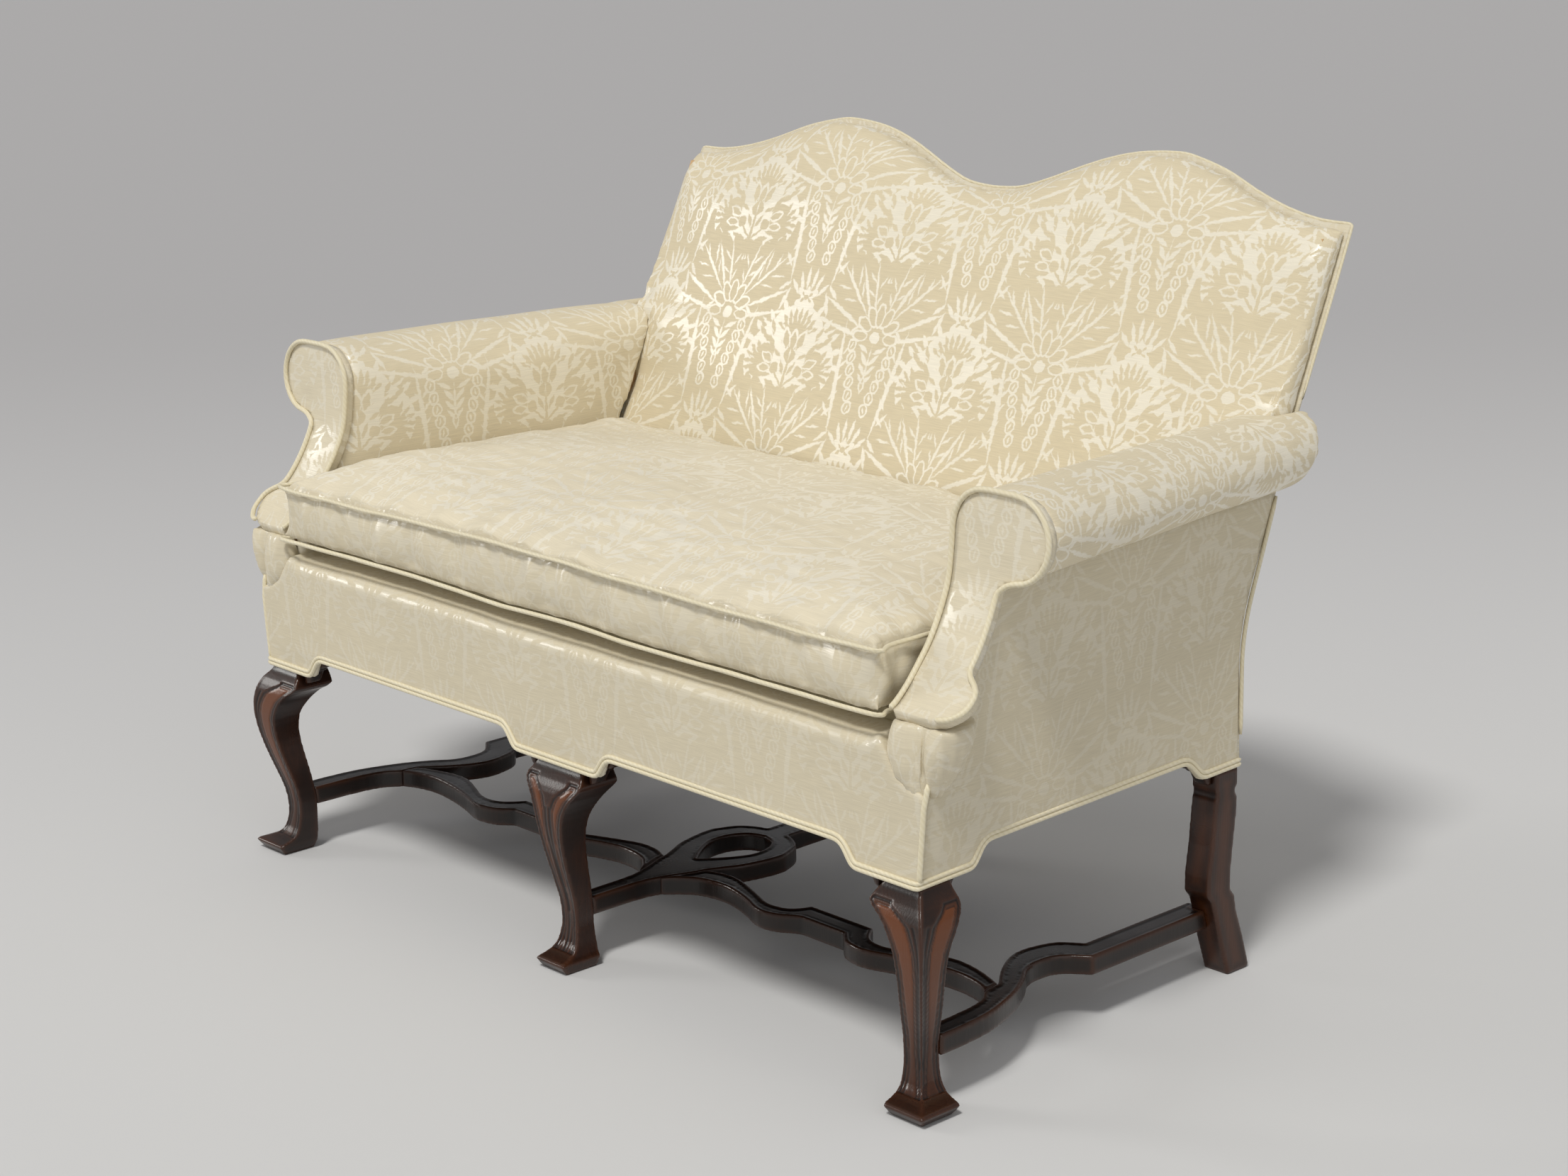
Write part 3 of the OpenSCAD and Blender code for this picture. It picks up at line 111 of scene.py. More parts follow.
def linear(hex_colour):
    """sRGB hex to the linear RGBA that a shader takes."""
    channels = [int(hex_colour[i : i + 2], 16) / 255 for i in (1, 3, 5)]
    return (*[c / 12.92 if c <= 0.04045 else ((c + 0.055) / 1.055) ** 2.4 for c in channels], 1.0)


def add(tree, kind, inputs=None, **settings):
    """Adds a node with its settings; an input is a value or the socket that feeds it."""
    node = tree.nodes.new(kind)
    for key, value in settings.items():
        setattr(node, key, value)
    for key, value in (inputs or {}).items():
        if isinstance(value, bpy.types.NodeSocket):
            tree.links.new(value, node.inputs[key])
        else:
            node.inputs[key].default_value = value
    return node.outputs


def new_material(name):
    material = bpy.data.materials.new(name)
    material.use_nodes = True
    material.node_tree.nodes.clear()
    return material, material.node_tree


def close_shader(tree, inputs, height=None, depth=0.001):
    """Principled surface with a bump of a real depth in metres."""
    if height is not None:
        inputs["Normal"] = add(tree, "ShaderNodeBump", {"Height": height, "Distance": depth, "Strength": 1.0})[0]
    surface = add(tree, "ShaderNodeBsdfPrincipled", inputs)[0]
    add(tree, "ShaderNodeOutputMaterial", {"Surface": surface})


# One half of the repeat, in mm from the middle of a thistle: x, y, turn in degrees, half width, half height
# and kind. Later shapes lie over earlier ones. An even kind is satin ground and an odd one matt figure; 0 and 1
# are round, 2 and 3 come to a point at each end.
HALO = [
    (0, 2, 0, 84, 62, 0), (0, 44, 0, 50, 38, 0), (0, 74, 0, 13, 34, 2), (0, -40, 0, 66, 22, 0),
    (86, 6, -84, 4, 11, 2), (83, 26, -66, 4, 11, 2), (72, 44, -50, 4, 11, 2), (54, 60, -38, 4, 11, 2),
    (34, 76, -30, 4, 11, 2),
]
HEADS = [
    (0, 44, 0, 31, 23, 1), (0, 68, 0, 3.2, 10, 3), (9, 67, -14, 3, 10, 3), (17, 64, -28, 3, 10, 3),
    (25, 58, -44, 3, 9, 3), (31, 50, -62, 3, 8, 3), (4.5, 63, -7, 1.3, 6, 2), (13, 60, -20, 1.3, 6, 2),
    (20, 56, -36, 1.3, 6, 2), (26, 49, -54, 1.3, 6, 2), (0, 33, 0, 8.5, 17, 2), (0, 31, 0, 5.5, 13, 3),
    (15, 34, -20, 8.5, 17, 2), (14, 32, -20, 5.5, 13, 3), (27, 38, -40, 6, 13, 2), (0, 12, 0, 11, 12, 3),
    (0, 12, 0, 1.2, 9, 0), (51, -2, -72, 25, 20, 1), (62, 18, -32, 3, 9, 3), (70, 12, -50, 3, 9, 3),
    (75, 4, -68, 3, 9, 3), (77, -5, -88, 3, 9, 3), (74, -14, -106, 3, 9, 3), (67, -21, -126, 3, 8, 3),
    (65, 11, -42, 1.2, 6, 2), (70, 1, -66, 1.2, 6, 2), (70, -8, -92, 1.2, 6, 2), (41, 4, -66, 7.5, 14, 2),
    (40, 4, -66, 4.8, 11, 3), (43, -11, -88, 7, 13, 2), (42, -11, -88, 4.4, 10, 3), (23, -9, -62, 8, 9, 3),
    (0, -26, 0, 2.4, 36, 1), (12, -22, -48, 1.8, 17, 1), (9, -6, -28, 3, 11, 3), (10, -38, -40, 3.4, 12, 3),
    (24, -30, -72, 3.2, 12, 3), (38, 22, -34, 4, 15, 3), (50, 30, -66, 3.8, 13, 3), (45, 45, -26, 3.6, 12, 3),
    (62, 38, -52, 3.4, 11, 3), (24, 12, -60, 3, 9, 3), (38, -20, -96, 3, 11, 3), (50, -28, -74, 3, 11, 3),
]
LEAVES = [
    (8, -48, 16, 8, 17, 1), (22, -44, 4, 9, 18, 1), (36, -48, -18, 9, 17, 1), (50, -40, -12, 9, 16, 1),
    (64, -38, -24, 9, 16, 1), (76, -48, -46, 10, 17, 1), (88, -64, -66, 11, 16, 1), (20, -70, -8, 18, 24, 1),
    (54, -68, -40, 26, 32, 1), (80, -86, -76, 13, 18, 1), (20, -70, -14, 2, 38, 2), (31, -58, -50, 1.6, 11, 2),
    (11, -62, 26, 1.6, 10, 2), (28, -78, -60, 1.6, 10, 2), (10, -84, 18, 1.6, 9, 2), (37, -74, -28, 2.6, 38, 2),
    (56, -78, -46, 2.2, 48, 2), (55, -58, -8, 1.7, 15, 2), (72, -58, -22, 1.7, 13, 2), (78, -76, -84, 1.7, 13, 2),
    (44, -76, -12, 1.6, 11, 2), (62, -92, -92, 1.6, 12, 2), (70, -108, -66, 3, 46, 2), (104, -104, -20, 3, 18, 2),
    (98, -86, -50, 3, 13, 2), (60, -132, -78, 3, 38, 2), (88, -142, -120, 2.6, 18, 2), (98, -124, -74, 2.6, 16, 2),
]
FAN = [
    (28, -136, -92, 8, 14, 0), (27, -136, -92, 5.4, 11, 1), (24, -120, -62, 8.5, 15, 0), (23, -120, -62, 5.8, 12, 1),
    (13, -109, -30, 8.5, 16, 0), (13, -109, -30, 5.8, 13, 1), (0, -106, 0, 8.5, 17, 0), (0, -106, 0, 5.8, 14, 1),
    (0, -136, 0, 9, 8, 0),
]
FLOWER = [
    (0, 92, 0, 12, 11, 0), (12, 98, -50, 5, 8, 0), (12, 84, -120, 5, 8, 0), (0, 92, 0, 4.2, 4, 1),
    (7, 96, -50, 1.8, 4, 1), (7, 88, -120, 1.8, 4, 1), (6, 118, -6, 3, 16, 2), (16, 112, -22, 3, 15, 2),
    (26, 104, -44, 3, 13, 2),
]
PLANT = [
    (0, -178, 0, 1.8, 30, 2), (0, -200, 0, 5, 13, 2), (0, -200, 0, 2.4, 8, 3), (8, -166, -42, 3.2, 12, 2),
    (7, -180, -42, 3, 11, 2), (6, -192, -42, 2.6, 9, 2), (15, -152, -64, 3, 12, 2),
]
FEATHER = [
    (97, -6, 7, 3.6, 76, 2), (103, 34, -40, 2, 11, 2), (92, 26, 46, 2, 10, 2), (102, 14, -40, 2, 11, 2),
    (90, 4, 46, 2, 10, 2), (100, -8, -40, 2, 11, 2), (99, -30, -40, 2, 10, 2), (92, -50, 40, 2.4, 12, 2),
    (96, -52, -50, 2.4, 12, 2), (104, 60, -50, 2.4, 13, 2),
]
BERRIES = [(36 - 4.1 * i, -150 - 16.5 * i) for i in range(6)]
COLUMN, ROW = 145, 380


def damask_shapes():
    """The half column's shapes, with the copies that reach into it over its edges; next columns drop by half."""
    berries = [s for x, y in BERRIES for s in ((x, y, 14, 8, 9.5, 0), (x, y, 14, 5.2, 6.6, 1), (x, y, 14, 1.5, 4.5, 0))]
    for x, y, turn, wide, high, kind in HALO + HEADS + LEAVES + FAN + FLOWER + PLANT + FEATHER + berries:
        c, s = math.cos(math.radians(turn)), math.sin(math.radians(turn))
        across, up = math.hypot(wide * c, high * s), math.hypot(wide * s, high * c)
        places = [(x, y, turn)]
        if x + across > COLUMN / 2:
            places += [(COLUMN - x, y + ROW / 2, -turn), (COLUMN - x, y - ROW / 2, -turn)]
        if 0 < x < across:
            places += [(-x, y, -turn)]
        for cx, cy, angle in places:
            for lift in (-ROW, 0, ROW):
                if abs(cy + lift) < ROW / 2 + up and cx - across < COLUMN / 2 and cx + across > 0:
                    yield cx, cy + lift, angle, wide, high, kind


def damask_mask(tree, cloth, scale):
    """1 on the matt figure and 0 on the satin ground, on a cloth map in metres."""
    # The weave steps the outlines by up to a millimetre
    wobble = add(tree, "ShaderNodeTexNoise", {"Vector": cloth, "Scale": 150.0, "Detail": 1.0})[1]
    parts = add(tree, "ShaderNodeSeparateXYZ", {0: cloth})
    across = add(tree, "ShaderNodeMath", {0: parts[0], 1: 1000 / (COLUMN * scale)}, operation="MULTIPLY")[0]
    column = add(tree, "ShaderNodeMath", {0: across}, operation="FLOOR")[0]
    within = add(tree, "ShaderNodeMath", {0: across, 1: column}, operation="SUBTRACT")[0]
    centred = add(tree, "ShaderNodeMath", {0: within, 1: 0.5}, operation="SUBTRACT")[0]
    folded = add(tree, "ShaderNodeMath", {0: centred}, operation="ABSOLUTE")[0]
    shift = add(tree, "ShaderNodeSeparateXYZ", {0: wobble})
    sway = add(tree, "ShaderNodeMath", {0: shift[0], 1: 5.0, 2: -2.5}, operation="MULTIPLY_ADD")[0]
    a = add(tree, "ShaderNodeMath", {0: folded, 1: float(COLUMN), 2: sway}, operation="MULTIPLY_ADD")[0]
    drop = add(tree, "ShaderNodeMath", {0: column, 1: 1.0}, operation="PINGPONG")[0]
    half_drop = add(tree, "ShaderNodeMath", {0: drop, 1: 0.5}, operation="MULTIPLY")[0]
    up = add(tree, "ShaderNodeMath", {0: parts[1], 1: 1000 / (ROW * scale), 2: half_drop}, operation="MULTIPLY_ADD")[0]
    row = add(tree, "ShaderNodeMath", {0: up}, operation="FLOOR")[0]
    rise = add(tree, "ShaderNodeMath", {0: up, 1: row}, operation="SUBTRACT")[0]
    heave = add(tree, "ShaderNodeMath", {0: shift[1], 1: 5.0, 2: -2.5 - ROW / 2}, operation="MULTIPLY_ADD")[0]
    b = add(tree, "ShaderNodeMath", {0: rise, 1: float(ROW), 2: heave}, operation="MULTIPLY_ADD")[0]
    mask = 1.0
    for x, y, turn, wide, high, kind in damask_shapes():
        # The mask so far goes along as a depth too small to count, so that the shapes are worked out in turn
        place = add(tree, "ShaderNodeCombineXYZ", {0: a, 1: b, 2: mask})[0]
        turned = {"Location": (x, y, 0), "Rotation": (0, 0, math.radians(turn)), "Scale": (wide, high, 10000)}
        local = add(tree, "ShaderNodeMapping", {"Vector": place, **turned}, vector_type="TEXTURE")[0]
        if kind < 2:
            far = add(tree, "ShaderNodeVectorMath", {0: local, 1: local}, operation="DOT_PRODUCT")[1]
        else:
            local = add(tree, "ShaderNodeSeparateXYZ", {0: local})
            side = add(tree, "ShaderNodeMath", {0: local[0]}, operation="ABSOLUTE")[0]
            far = add(tree, "ShaderNodeMath", {0: local[1], 1: local[1], 2: side}, operation="MULTIPLY_ADD")[0]
        edge = (1 if kind % 2 == 0 else -1) * min(wide, high) / 1.6
        slope = {0: far, 1: edge, 2: 0.5 - edge}
        inside = add(tree, "ShaderNodeMath", slope, operation="MULTIPLY_ADD", use_clamp=True)[0]
        mask = add(tree, "ShaderNodeMath", {0: mask, 1: inside}, operation="MAXIMUM" if kind % 2 else "MINIMUM")[0]
    return mask


def silk_damask(colours, sizes):
    """Silk damask, woven in one colour. The warp satin ground is smooth and throws the light back; the weft figure
    is ribbed and matt, so the leaves look darker. Thick weft threads leave short pale streaks across."""
    material, tree = new_material("silk_damask_woven")
    cloth = add(tree, "ShaderNodeUVMap", uv_map="cloth")[0]
    mask = damask_mask(tree, cloth, sizes.repeat * 1000 / ROW)
    # Painted shade: on pieces given a low share, the figure comes close to its ground, as where light falls at a slant
    fresh = add(tree, "ShaderNodeAttribute", attribute_name="fresh")[2]
    figured = add(tree, "ShaderNodeMath", {0: mask, 1: fresh}, operation="MULTIPLY")[0]
    # Slubs 30 mm long and 1.5 mm high; single threads of 0.2 mm are too fine to show
    slub_place = add(tree, "ShaderNodeVectorMath", {0: cloth, 1: (33.0, 620.0, 1.0)}, operation="MULTIPLY")[0]
    slub = add(tree, "ShaderNodeTexNoise", {"Vector": slub_place, "Scale": 1.0, "Detail": 2.0})[0]
    age = add(tree, "ShaderNodeTexNoise", {"Vector": cloth, "Scale": 3.0, "Detail": 2.0})[0]
    ground, figure = linear(colours.ground), linear(colours.figure)
    colour = add(tree, "ShaderNodeMix", {0: figured, 6: ground, 7: figure}, data_type="RGBA")[2]
    # Painted shade: the same low share darkens a cover towards a dull tan
    dust_and_painted_shade = add(tree, "ShaderNodeMapRange", {0: fresh, 1: 0.35, 2: 0.6, 3: 0.42, 4: 0.0})[0]
    colour = add(tree, "ShaderNodeMix", {0: dust_and_painted_shade, 6: colour, 7: linear("#a89a75")}, data_type="RGBA")[2]
    streaks = add(tree, "ShaderNodeMapRange", {0: slub, 1: 0.3, 2: 0.7, 3: 0.94, 4: 1.05})[0]
    soft_age = add(tree, "ShaderNodeMapRange", {0: age, 1: 0.3, 2: 0.7, 3: 0.975, 4: 1.02})[0]
    tone = add(tree, "ShaderNodeMath", {0: streaks, 1: soft_age}, operation="MULTIPLY")[0]
    shade = add(tree, "ShaderNodeCombineXYZ", {0: tone, 1: tone, 2: tone})[0]
    colour = add(tree, "ShaderNodeMix", {0: 1.0, 6: colour, 7: shade}, data_type="RGBA", blend_type="MULTIPLY")[2]
    rough = add(tree, "ShaderNodeMapRange", {0: mask, 1: 0.0, 2: 1.0, 3: 0.28, 4: 0.72})[0]
    close_shader(
        tree,
        {
            "Base Color": colour,
            "Roughness": rough,
            "Specular IOR Level": 0.65,
            "Sheen Weight": 0.25,
            "Sheen Roughness": 0.4,
            "Sheen Tint": linear("#fff6e0"),
        },
        slub,
        0.0002,
    )
    return material


def piping_cord():
    """Piping: cord covered with a bias strip of the damask, whose diagonal threads catch the light as a fine twist."""
    material, tree = new_material("silk_piping_bias_cut")
    where = add(tree, "ShaderNodeTexCoord")[3]
    # A twist every 4 mm; the real threads are finer than the render shows
    fine = {"Vector": where, "Scale": 78.0, "Distortion": 0.6}
    twist = add(tree, "ShaderNodeTexWave", fine, bands_direction="DIAGONAL")[1]
    dust_and_painted_shade = add(tree, "ShaderNodeTexNoise", {"Vector": where, "Scale": 40.0, "Detail": 2.0})[0]
    colour = add(tree, "ShaderNodeMix", {0: twist, 6: linear("#dcd2b4"), 7: linear("#e8e0c8")}, data_type="RGBA")[2]
    colour = add(tree, "ShaderNodeMix", {0: dust_and_painted_shade, 6: colour, 7: linear("#dacfae")}, data_type="RGBA")[2]
    close_shader(tree, {"Base Color": colour, "Roughness": 0.5, "Sheen Weight": 0.2}, twist, 0.00012)
    return material


def polished_walnut(name, light, dark, shine, glow_share):
    """Walnut, carved and French polished, worn by two centuries: warm on the crests where hands and feet have
    rubbed, nearly black in the hollows where wax and dust have gathered, and with a painted warm glow in the middle of
    the outer faces, as if lit."""
    material, tree = new_material(name)
    where = add(tree, "ShaderNodeTexCoord")[3]
    # Grain lines about 2 mm apart and 80 mm long, up the leg
    lengthways = add(tree, "ShaderNodeVectorMath", {0: where, 1: (420.0, 420.0, 26.0)}, operation="MULTIPLY")[0]
    grain = add(tree, "ShaderNodeTexNoise", {"Vector": lengthways, "Scale": 1.0, "Detail": 3.0, "Distortion": 0.4})[0]
    clouds = add(tree, "ShaderNodeTexNoise", {"Vector": where, "Scale": 15.0, "Detail": 2.0})[0]
    body = add(tree, "ShaderNodeMix", {0: grain, 6: linear(dark), 7: linear(light)}, data_type="RGBA")[2]
    patchy = add(tree, "ShaderNodeMapRange", {0: clouds, 1: 0.4, 2: 0.62, 3: 0.0, 4: 0.8})[0]
    body = add(tree, "ShaderNodeMix", {0: patchy, 6: body, 7: linear(dark)}, data_type="RGBA")[2]
    # The first layer paints a warm glow of light on the faces; worn lightens the crests and sunk darkens the hollows
    for layer, share, hue in (("rubbed", glow_share, "#6d3b1a"), ("worn", 0.25, "#633a24"), ("sunk", 0.95, "#120a07")):
        marked = add(tree, "ShaderNodeAttribute", attribute_name=layer)[2]
        tinted = add(tree, "ShaderNodeMath", {0: marked, 1: share}, operation="MULTIPLY", use_clamp=True)[0]
        body = add(tree, "ShaderNodeMix", {0: tinted, 6: body, 7: linear(hue)}, data_type="RGBA")[2]
    rough = add(tree, "ShaderNodeMapRange", {0: clouds, 1: 0.3, 2: 0.7, 3: shine, 4: shine + 0.16})[0]
    close_shader(
        tree,
        {
            "Base Color": body,
            "Roughness": rough,
            "IOR": 1.5,
            "Specular IOR Level": 0.4,
            "Coat Weight": 0.12,
            "Coat Roughness": 0.15,
        },
        grain,
        0.00015,
    )
    return material


def plain_finish(name, low, high, roughness, scale, metallic=0.0, depth=0.0003):
    """Grain, weave or turning marks of the parts that the covers hide."""
    material, tree = new_material(name)
    where = add(tree, "ShaderNodeTexCoord")[3]
    stretched = add(tree, "ShaderNodeVectorMath", {0: where, 1: scale}, operation="MULTIPLY")[0]
    grain = add(tree, "ShaderNodeTexNoise", {"Vector": stretched, "Scale": 1.0, "Detail": 3.0})[0]
    colour = add(tree, "ShaderNodeMix", {0: grain, 6: linear(low), 7: linear(high)}, data_type="RGBA")[2]
    close_shader(tree, {"Base Color": colour, "Roughness": roughness, "Metallic": metallic}, grain, depth)
    return material


def kept(name, make):
    """The material of that name, made on its first use."""
    return bpy.data.materials.get(name) or make()


def damask():
    settings = bpy.context.scene
    return kept("silk_damask_woven", lambda: silk_damask(settings.settee_colours, settings.settee_sizes))


def piping():
    return kept("silk_piping_bias_cut", piping_cord)


def walnut():
    colours, name = bpy.context.scene.settee_colours, "walnut_carved_polished"
    return kept(name, lambda: polished_walnut(name, colours.walnut, "#1b0f0a", 0.24, 0.75))


# Painted shade: a darker copy of the walnut for the stretchers and brackets, which lie in shade under the seat
def shaded_walnut():
    colours, name = bpy.context.scene.settee_colours, "walnut_darkened"
    return kept(name, lambda: polished_walnut(name, "#1f120b", colours.walnut_in_shade, 0.24, 0.08))


def back_y(z):
    """Outer face of the back at a height, in the row frame."""
    height = BEND_TO - BEND_FROM
    bend = np.clip(z - BEND_FROM, 0, height)
    return SEAT_DEPTH + RAKE * (bend**2 / (2 * height) + np.maximum(z - BEND_TO, 0)) - MIDDLE


def inside_x(y):
    """Inner face of an arm, from the middle of the seat."""
    return 0.555995 + 0.0935 * (ARM_SET_BACK - (y + MIDDLE))


def roll_x(y):
    """Middle of the scroll along the outside of an arm."""
    return inside_x(y) + ARM_THICK + 0.023 - 0.020 * (y + MIDDLE - ARM_SET_BACK) / SEAT_DEPTH


def points(mesh, what="co"):
    flat = np.empty(len(mesh.vertices) * 3, np.float32)
    mesh.vertices.foreach_get(what, flat)
    return flat.reshape(-1, 3).astype(float)


def put(mesh, places):
    mesh.vertices.foreach_set("co", places.astype(np.float32).ravel())
    mesh.update()


def edge_ends(mesh):
    flat = np.empty(len(mesh.edges) * 2, np.int32)
    mesh.edges.foreach_get("vertices", flat)
    return flat.reshape(-1, 2)


def relaxed(mesh, places, times, share=0.5):
    """Moves each point towards the middle of its neighbours."""
    ends = edge_ends(mesh)
    count = np.bincount(ends.ravel(), minlength=len(places)).clip(1)
    for _ in range(times):
        total = sum(
            np.stack([np.bincount(ends[:, a], places[ends[:, b], k], len(places)) for k in range(3)], axis=1)
            for a, b in ((0, 1), (1, 0))
        )
        places = places + share * (total / count[:, None] - places)
    return places


def smoothed(mesh, values, times):
    """Evens out one value for each point of a mesh."""
    return relaxed(mesh, np.repeat(values[:, None], 3, axis=1), times)[:, 0]


def write_layer(mesh, name, amount):
    """Writes one value for each point, for the materials."""
    layer = mesh.attributes.new(name, "FLOAT", "POINT")
    layer.data.foreach_set("value", np.full(len(mesh.vertices), amount, np.float32))


def ripple(places, pitch, seed=0.0):
    """Smooth uneven waves between -1 and 1, from three crossing sines of about that pitch in metres."""
    k = 2 * math.pi / pitch
    x, y, z = (places * k).T
    a = np.sin(x * 0.93 + 0.37 * y + seed) * np.cos(z * 0.71 - 0.42 * x + 1.7 * seed)
    b = np.sin(y * 1.13 - 0.31 * z + 2.3 * seed) * np.cos(x * 0.57 + 0.83 * y + 0.9 + seed)
    c = np.sin(z * 1.21 + 0.67 * y - 1.1 * seed) * np.cos(y * 0.49 - 0.77 * x + 2.1)
    return (a + b + c) / 2.2


def copy_of(*nodes):
    """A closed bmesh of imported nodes, with their loose corners merged."""
    shape = bmesh.new()
    for node in nodes:
        shape.from_mesh(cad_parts[node].data)
    bmesh.ops.remove_doubles(shape, verts=shape.verts, dist=0.00002)
    return shape


def near(places, tree):
    """Distance of each place to the nearest point of a tree."""
    return np.array([tree.find(p)[2] for p in places])


def tree_of(samples):
    tree = KDTree(len(samples))
    for i, p in enumerate(samples):
        tree.insert(p, i)
    tree.balance()
    return tree


def around(node):
    """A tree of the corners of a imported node."""
    return tree_of([v.co.copy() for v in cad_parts[node].data.vertices])


def corners(node, angle=38, step=0.003):
    """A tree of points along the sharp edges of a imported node."""
    shape = copy_of(node)
    samples = []
    for edge in shape.edges:
        if len(edge.link_faces) != 2 or edge.calc_face_angle(0) < math.radians(angle):
            continue
        a, b = (v.co.copy() for v in edge.verts)
        n = max(1, math.ceil((b - a).length / step))
        samples += [a.lerp(b, i / n) for i in range(n + 1)]
    shape.free()
    return tree_of(samples)


def object_of(shape, name):
    """Makes a bmesh an object of the scene."""
    mesh = bpy.data.meshes.new(name)
    shape.to_mesh(mesh)
    shape.free()
    obj = bpy.data.objects.new(name, mesh)
    bpy.context.scene.collection.objects.link(obj)
    return obj


def piece(shape, name, material, body, slot, *replaced, sharp=None):
    """Makes a bmesh an object that rides on a body."""
    obj = object_of(shape, name)
    dress(obj, material, body, slot, *replaced, sharp=sharp)
    return obj


def dress(obj, material, body, slot, *replaced, sharp=None):
    obj.data.materials.clear()
    obj.data.materials.append(material)
    obj.data.polygons.foreach_set("use_smooth", [True] * len(obj.data.polygons))
    if sharp:
        obj.data.set_sharp_from_angle(angle=math.radians(sharp))
    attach(obj, body)
    if replaced:
        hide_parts(*replaced)


def settle(obj):
    """Applies an object's modifiers to its mesh."""
    depsgraph = bpy.context.evaluated_depsgraph_get()
    mesh = bpy.data.meshes.new_from_object(obj.evaluated_get(depsgraph))
    old = obj.data
    obj.modifiers.clear()
    obj.data = mesh
    bpy.data.meshes.remove(old)
    mesh.name = obj.name


def remeshed(shape, name, voxel, times):
    """An even quad skin over a closed shape, relaxed a few times."""
    obj = object_of(shape, name)
    skin = obj.modifiers.new("skin", "REMESH")
    skin.mode = "VOXEL"
    skin.voxel_size = voxel * COARSER
    settle(obj)
    put(obj.data, relaxed(obj.data, points(obj.data), times))
    return obj


def swollen(obj, held, cap, pressure=4.0, shrink=0.002):
    """Lets the filling push the cover out: Cloth with pressure, no gravity, 20 frames, each move capped."""
    start = points(obj.data)
    put(obj.data, start - points(obj.data, "normal") * shrink * (1 - held)[:, None])
    group = obj.vertex_groups.new(name="held")
    for level in (0.25, 0.5, 0.75, 1.0):
        chosen = np.nonzero((held > level - 0.25) & (held <= level))[0]
        group.add(chosen.tolist(), level, "REPLACE")
    cloth = obj.modifiers.new("cloth", "CLOTH")
    cloth.settings.use_pressure = True
    cloth.settings.uniform_pressure_force = pressure
    cloth.settings.vertex_group_mass = "held"
    cloth.settings.quality = 5
    cloth.settings.effector_weights.gravity = 0
    cloth.collision_settings.use_collision = False
    cloth.point_cache.frame_start = 1
    cloth.point_cache.frame_end = 20
    for step in range(1, 21):
        bpy.context.scene.frame_set(step)
    settle(obj)
    bpy.context.scene.frame_set(1)
    move = points(obj.data) - start
    length = np.linalg.norm(move, axis=1).clip(1e-9)
    put(obj.data, start + move * np.minimum(1, cap / length)[:, None])
    obj.vertex_groups.clear()


def finer(obj):
    """One subdivision, applied."""
    surface = obj.modifiers.new("finer", "SUBSURF")
    surface.levels = surface.render_levels = 1
    settle(obj)


def map_cloth(obj, place_on_cloth, fresh=1.0):
    """Writes the cloth's own map, in metres, from each corner's place and its face's direction, and the share of
    light its colours get: a low share paints shade on them."""
    mesh = obj.data
    write_layer(mesh, "fresh", fresh)
    layer = mesh.uv_layers.new(name="cloth")
    corner = np.empty(len(mesh.loops), np.int32)
    mesh.loops.foreach_get("vertex_index", corner)
    count = np.empty(len(mesh.polygons), np.int32)
    mesh.polygons.foreach_get("loop_total", count)
    facing = np.empty(len(mesh.polygons) * 3, np.float32)
    mesh.polygons.foreach_get("normal", facing)
    facing = np.repeat(facing.reshape(-1, 3), count, axis=0)
    u, v = place_on_cloth(points(mesh)[corner], facing)
    layer.data.foreach_set("uv", np.stack([u, v], axis=1).astype(np.float32).ravel())


def gridded(shape, step, axes="xyz"):
    """Cuts a shape into patches no longer than a step, so that it can be moved as cloth."""
    low = [min(v.co[k] for v in shape.verts) for k in range(3)]
    high = [max(v.co[k] for v in shape.verts) for k in range(3)]
    for name in axes:
        k = "xyz".index(name)
        direction = Vector((0, 0, 0))
        direction[k] = 1
        n = math.ceil((high[k] - low[k]) / step)
        for i in range(1, n):
            place = Vector((0, 0, 0))
            place[k] = low[k] + (high[k] - low[k]) * i / n + 0.000013
            geometry = shape.verts[:] + shape.edges[:] + shape.faces[:]
            bmesh.ops.bisect_plane(shape, geom=geometry, dist=1e-6, plane_co=place, plane_no=direction)


def edge_marks(obj, reach, rubbed):
    """Writes how far each point stands out or lies in, as the attributes worn and sunk, and its painted warm glow, as
    if lit.
    """
    mesh = obj.data
    places = points(mesh)
    offset = ((places - relaxed(mesh, places, 2, 1.0)) * points(mesh, "normal")).sum(axis=1)
    relief = smoothed(mesh, offset, 2) * reach / 0.00025
    for name, amount in (("worn", relief), ("sunk", -relief), ("rubbed", rubbed)):
        write_layer(mesh, name, np.clip(amount, 0, 1))


def bell(distance, width):
    return np.exp(-((distance / width) ** 2))


def rounding(distance, radius):
    """How far a surface falls away beside a rounded corner."""
    near_edge = np.clip(radius - distance, 0, radius)
    return radius - np.sqrt(np.maximum(radius**2 - near_edge**2, 0))


# Outlines of the front legs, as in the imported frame: share of the height, then share of the size. In turn how far
# the outer corner stands out, the two kinds of width behind it, and half the width of the centre leg
LEG_OUT = [
    (0, 0.8), (0.046, 1.25), (0.062, 0.95), (0.085, 0.2), (0.13, -0.2), (0.2, -0.37), (0.25, -0.38), (0.33, -0.25),
    (0.415, 0.05), (0.51, 0.41), (0.62, 0.765), (0.71, 0.955), (0.79, 1), (0.87, 0.83), (0.93, 0.45), (0.97, 0),
    (0.999, -0.15),
]
SHANK = [
    (0, 0.86), (0.05, 1), (0.15, 1.02), (0.265, 1.03), (0.38, 0.94), (0.47, 0.83), (0.57, 0.71), (0.65, 0.66),
    (0.73, 0.71), (0.785, 0.89), (0.83, 1.11),
]
LEG_IN = SHANK + [(0.9, 1.4), (0.93, 1.45), (0.999, 1.4)]
LEG_WING = SHANK + [(0.87, 1.45), (0.915, 1.94), (0.999, 1.6)]
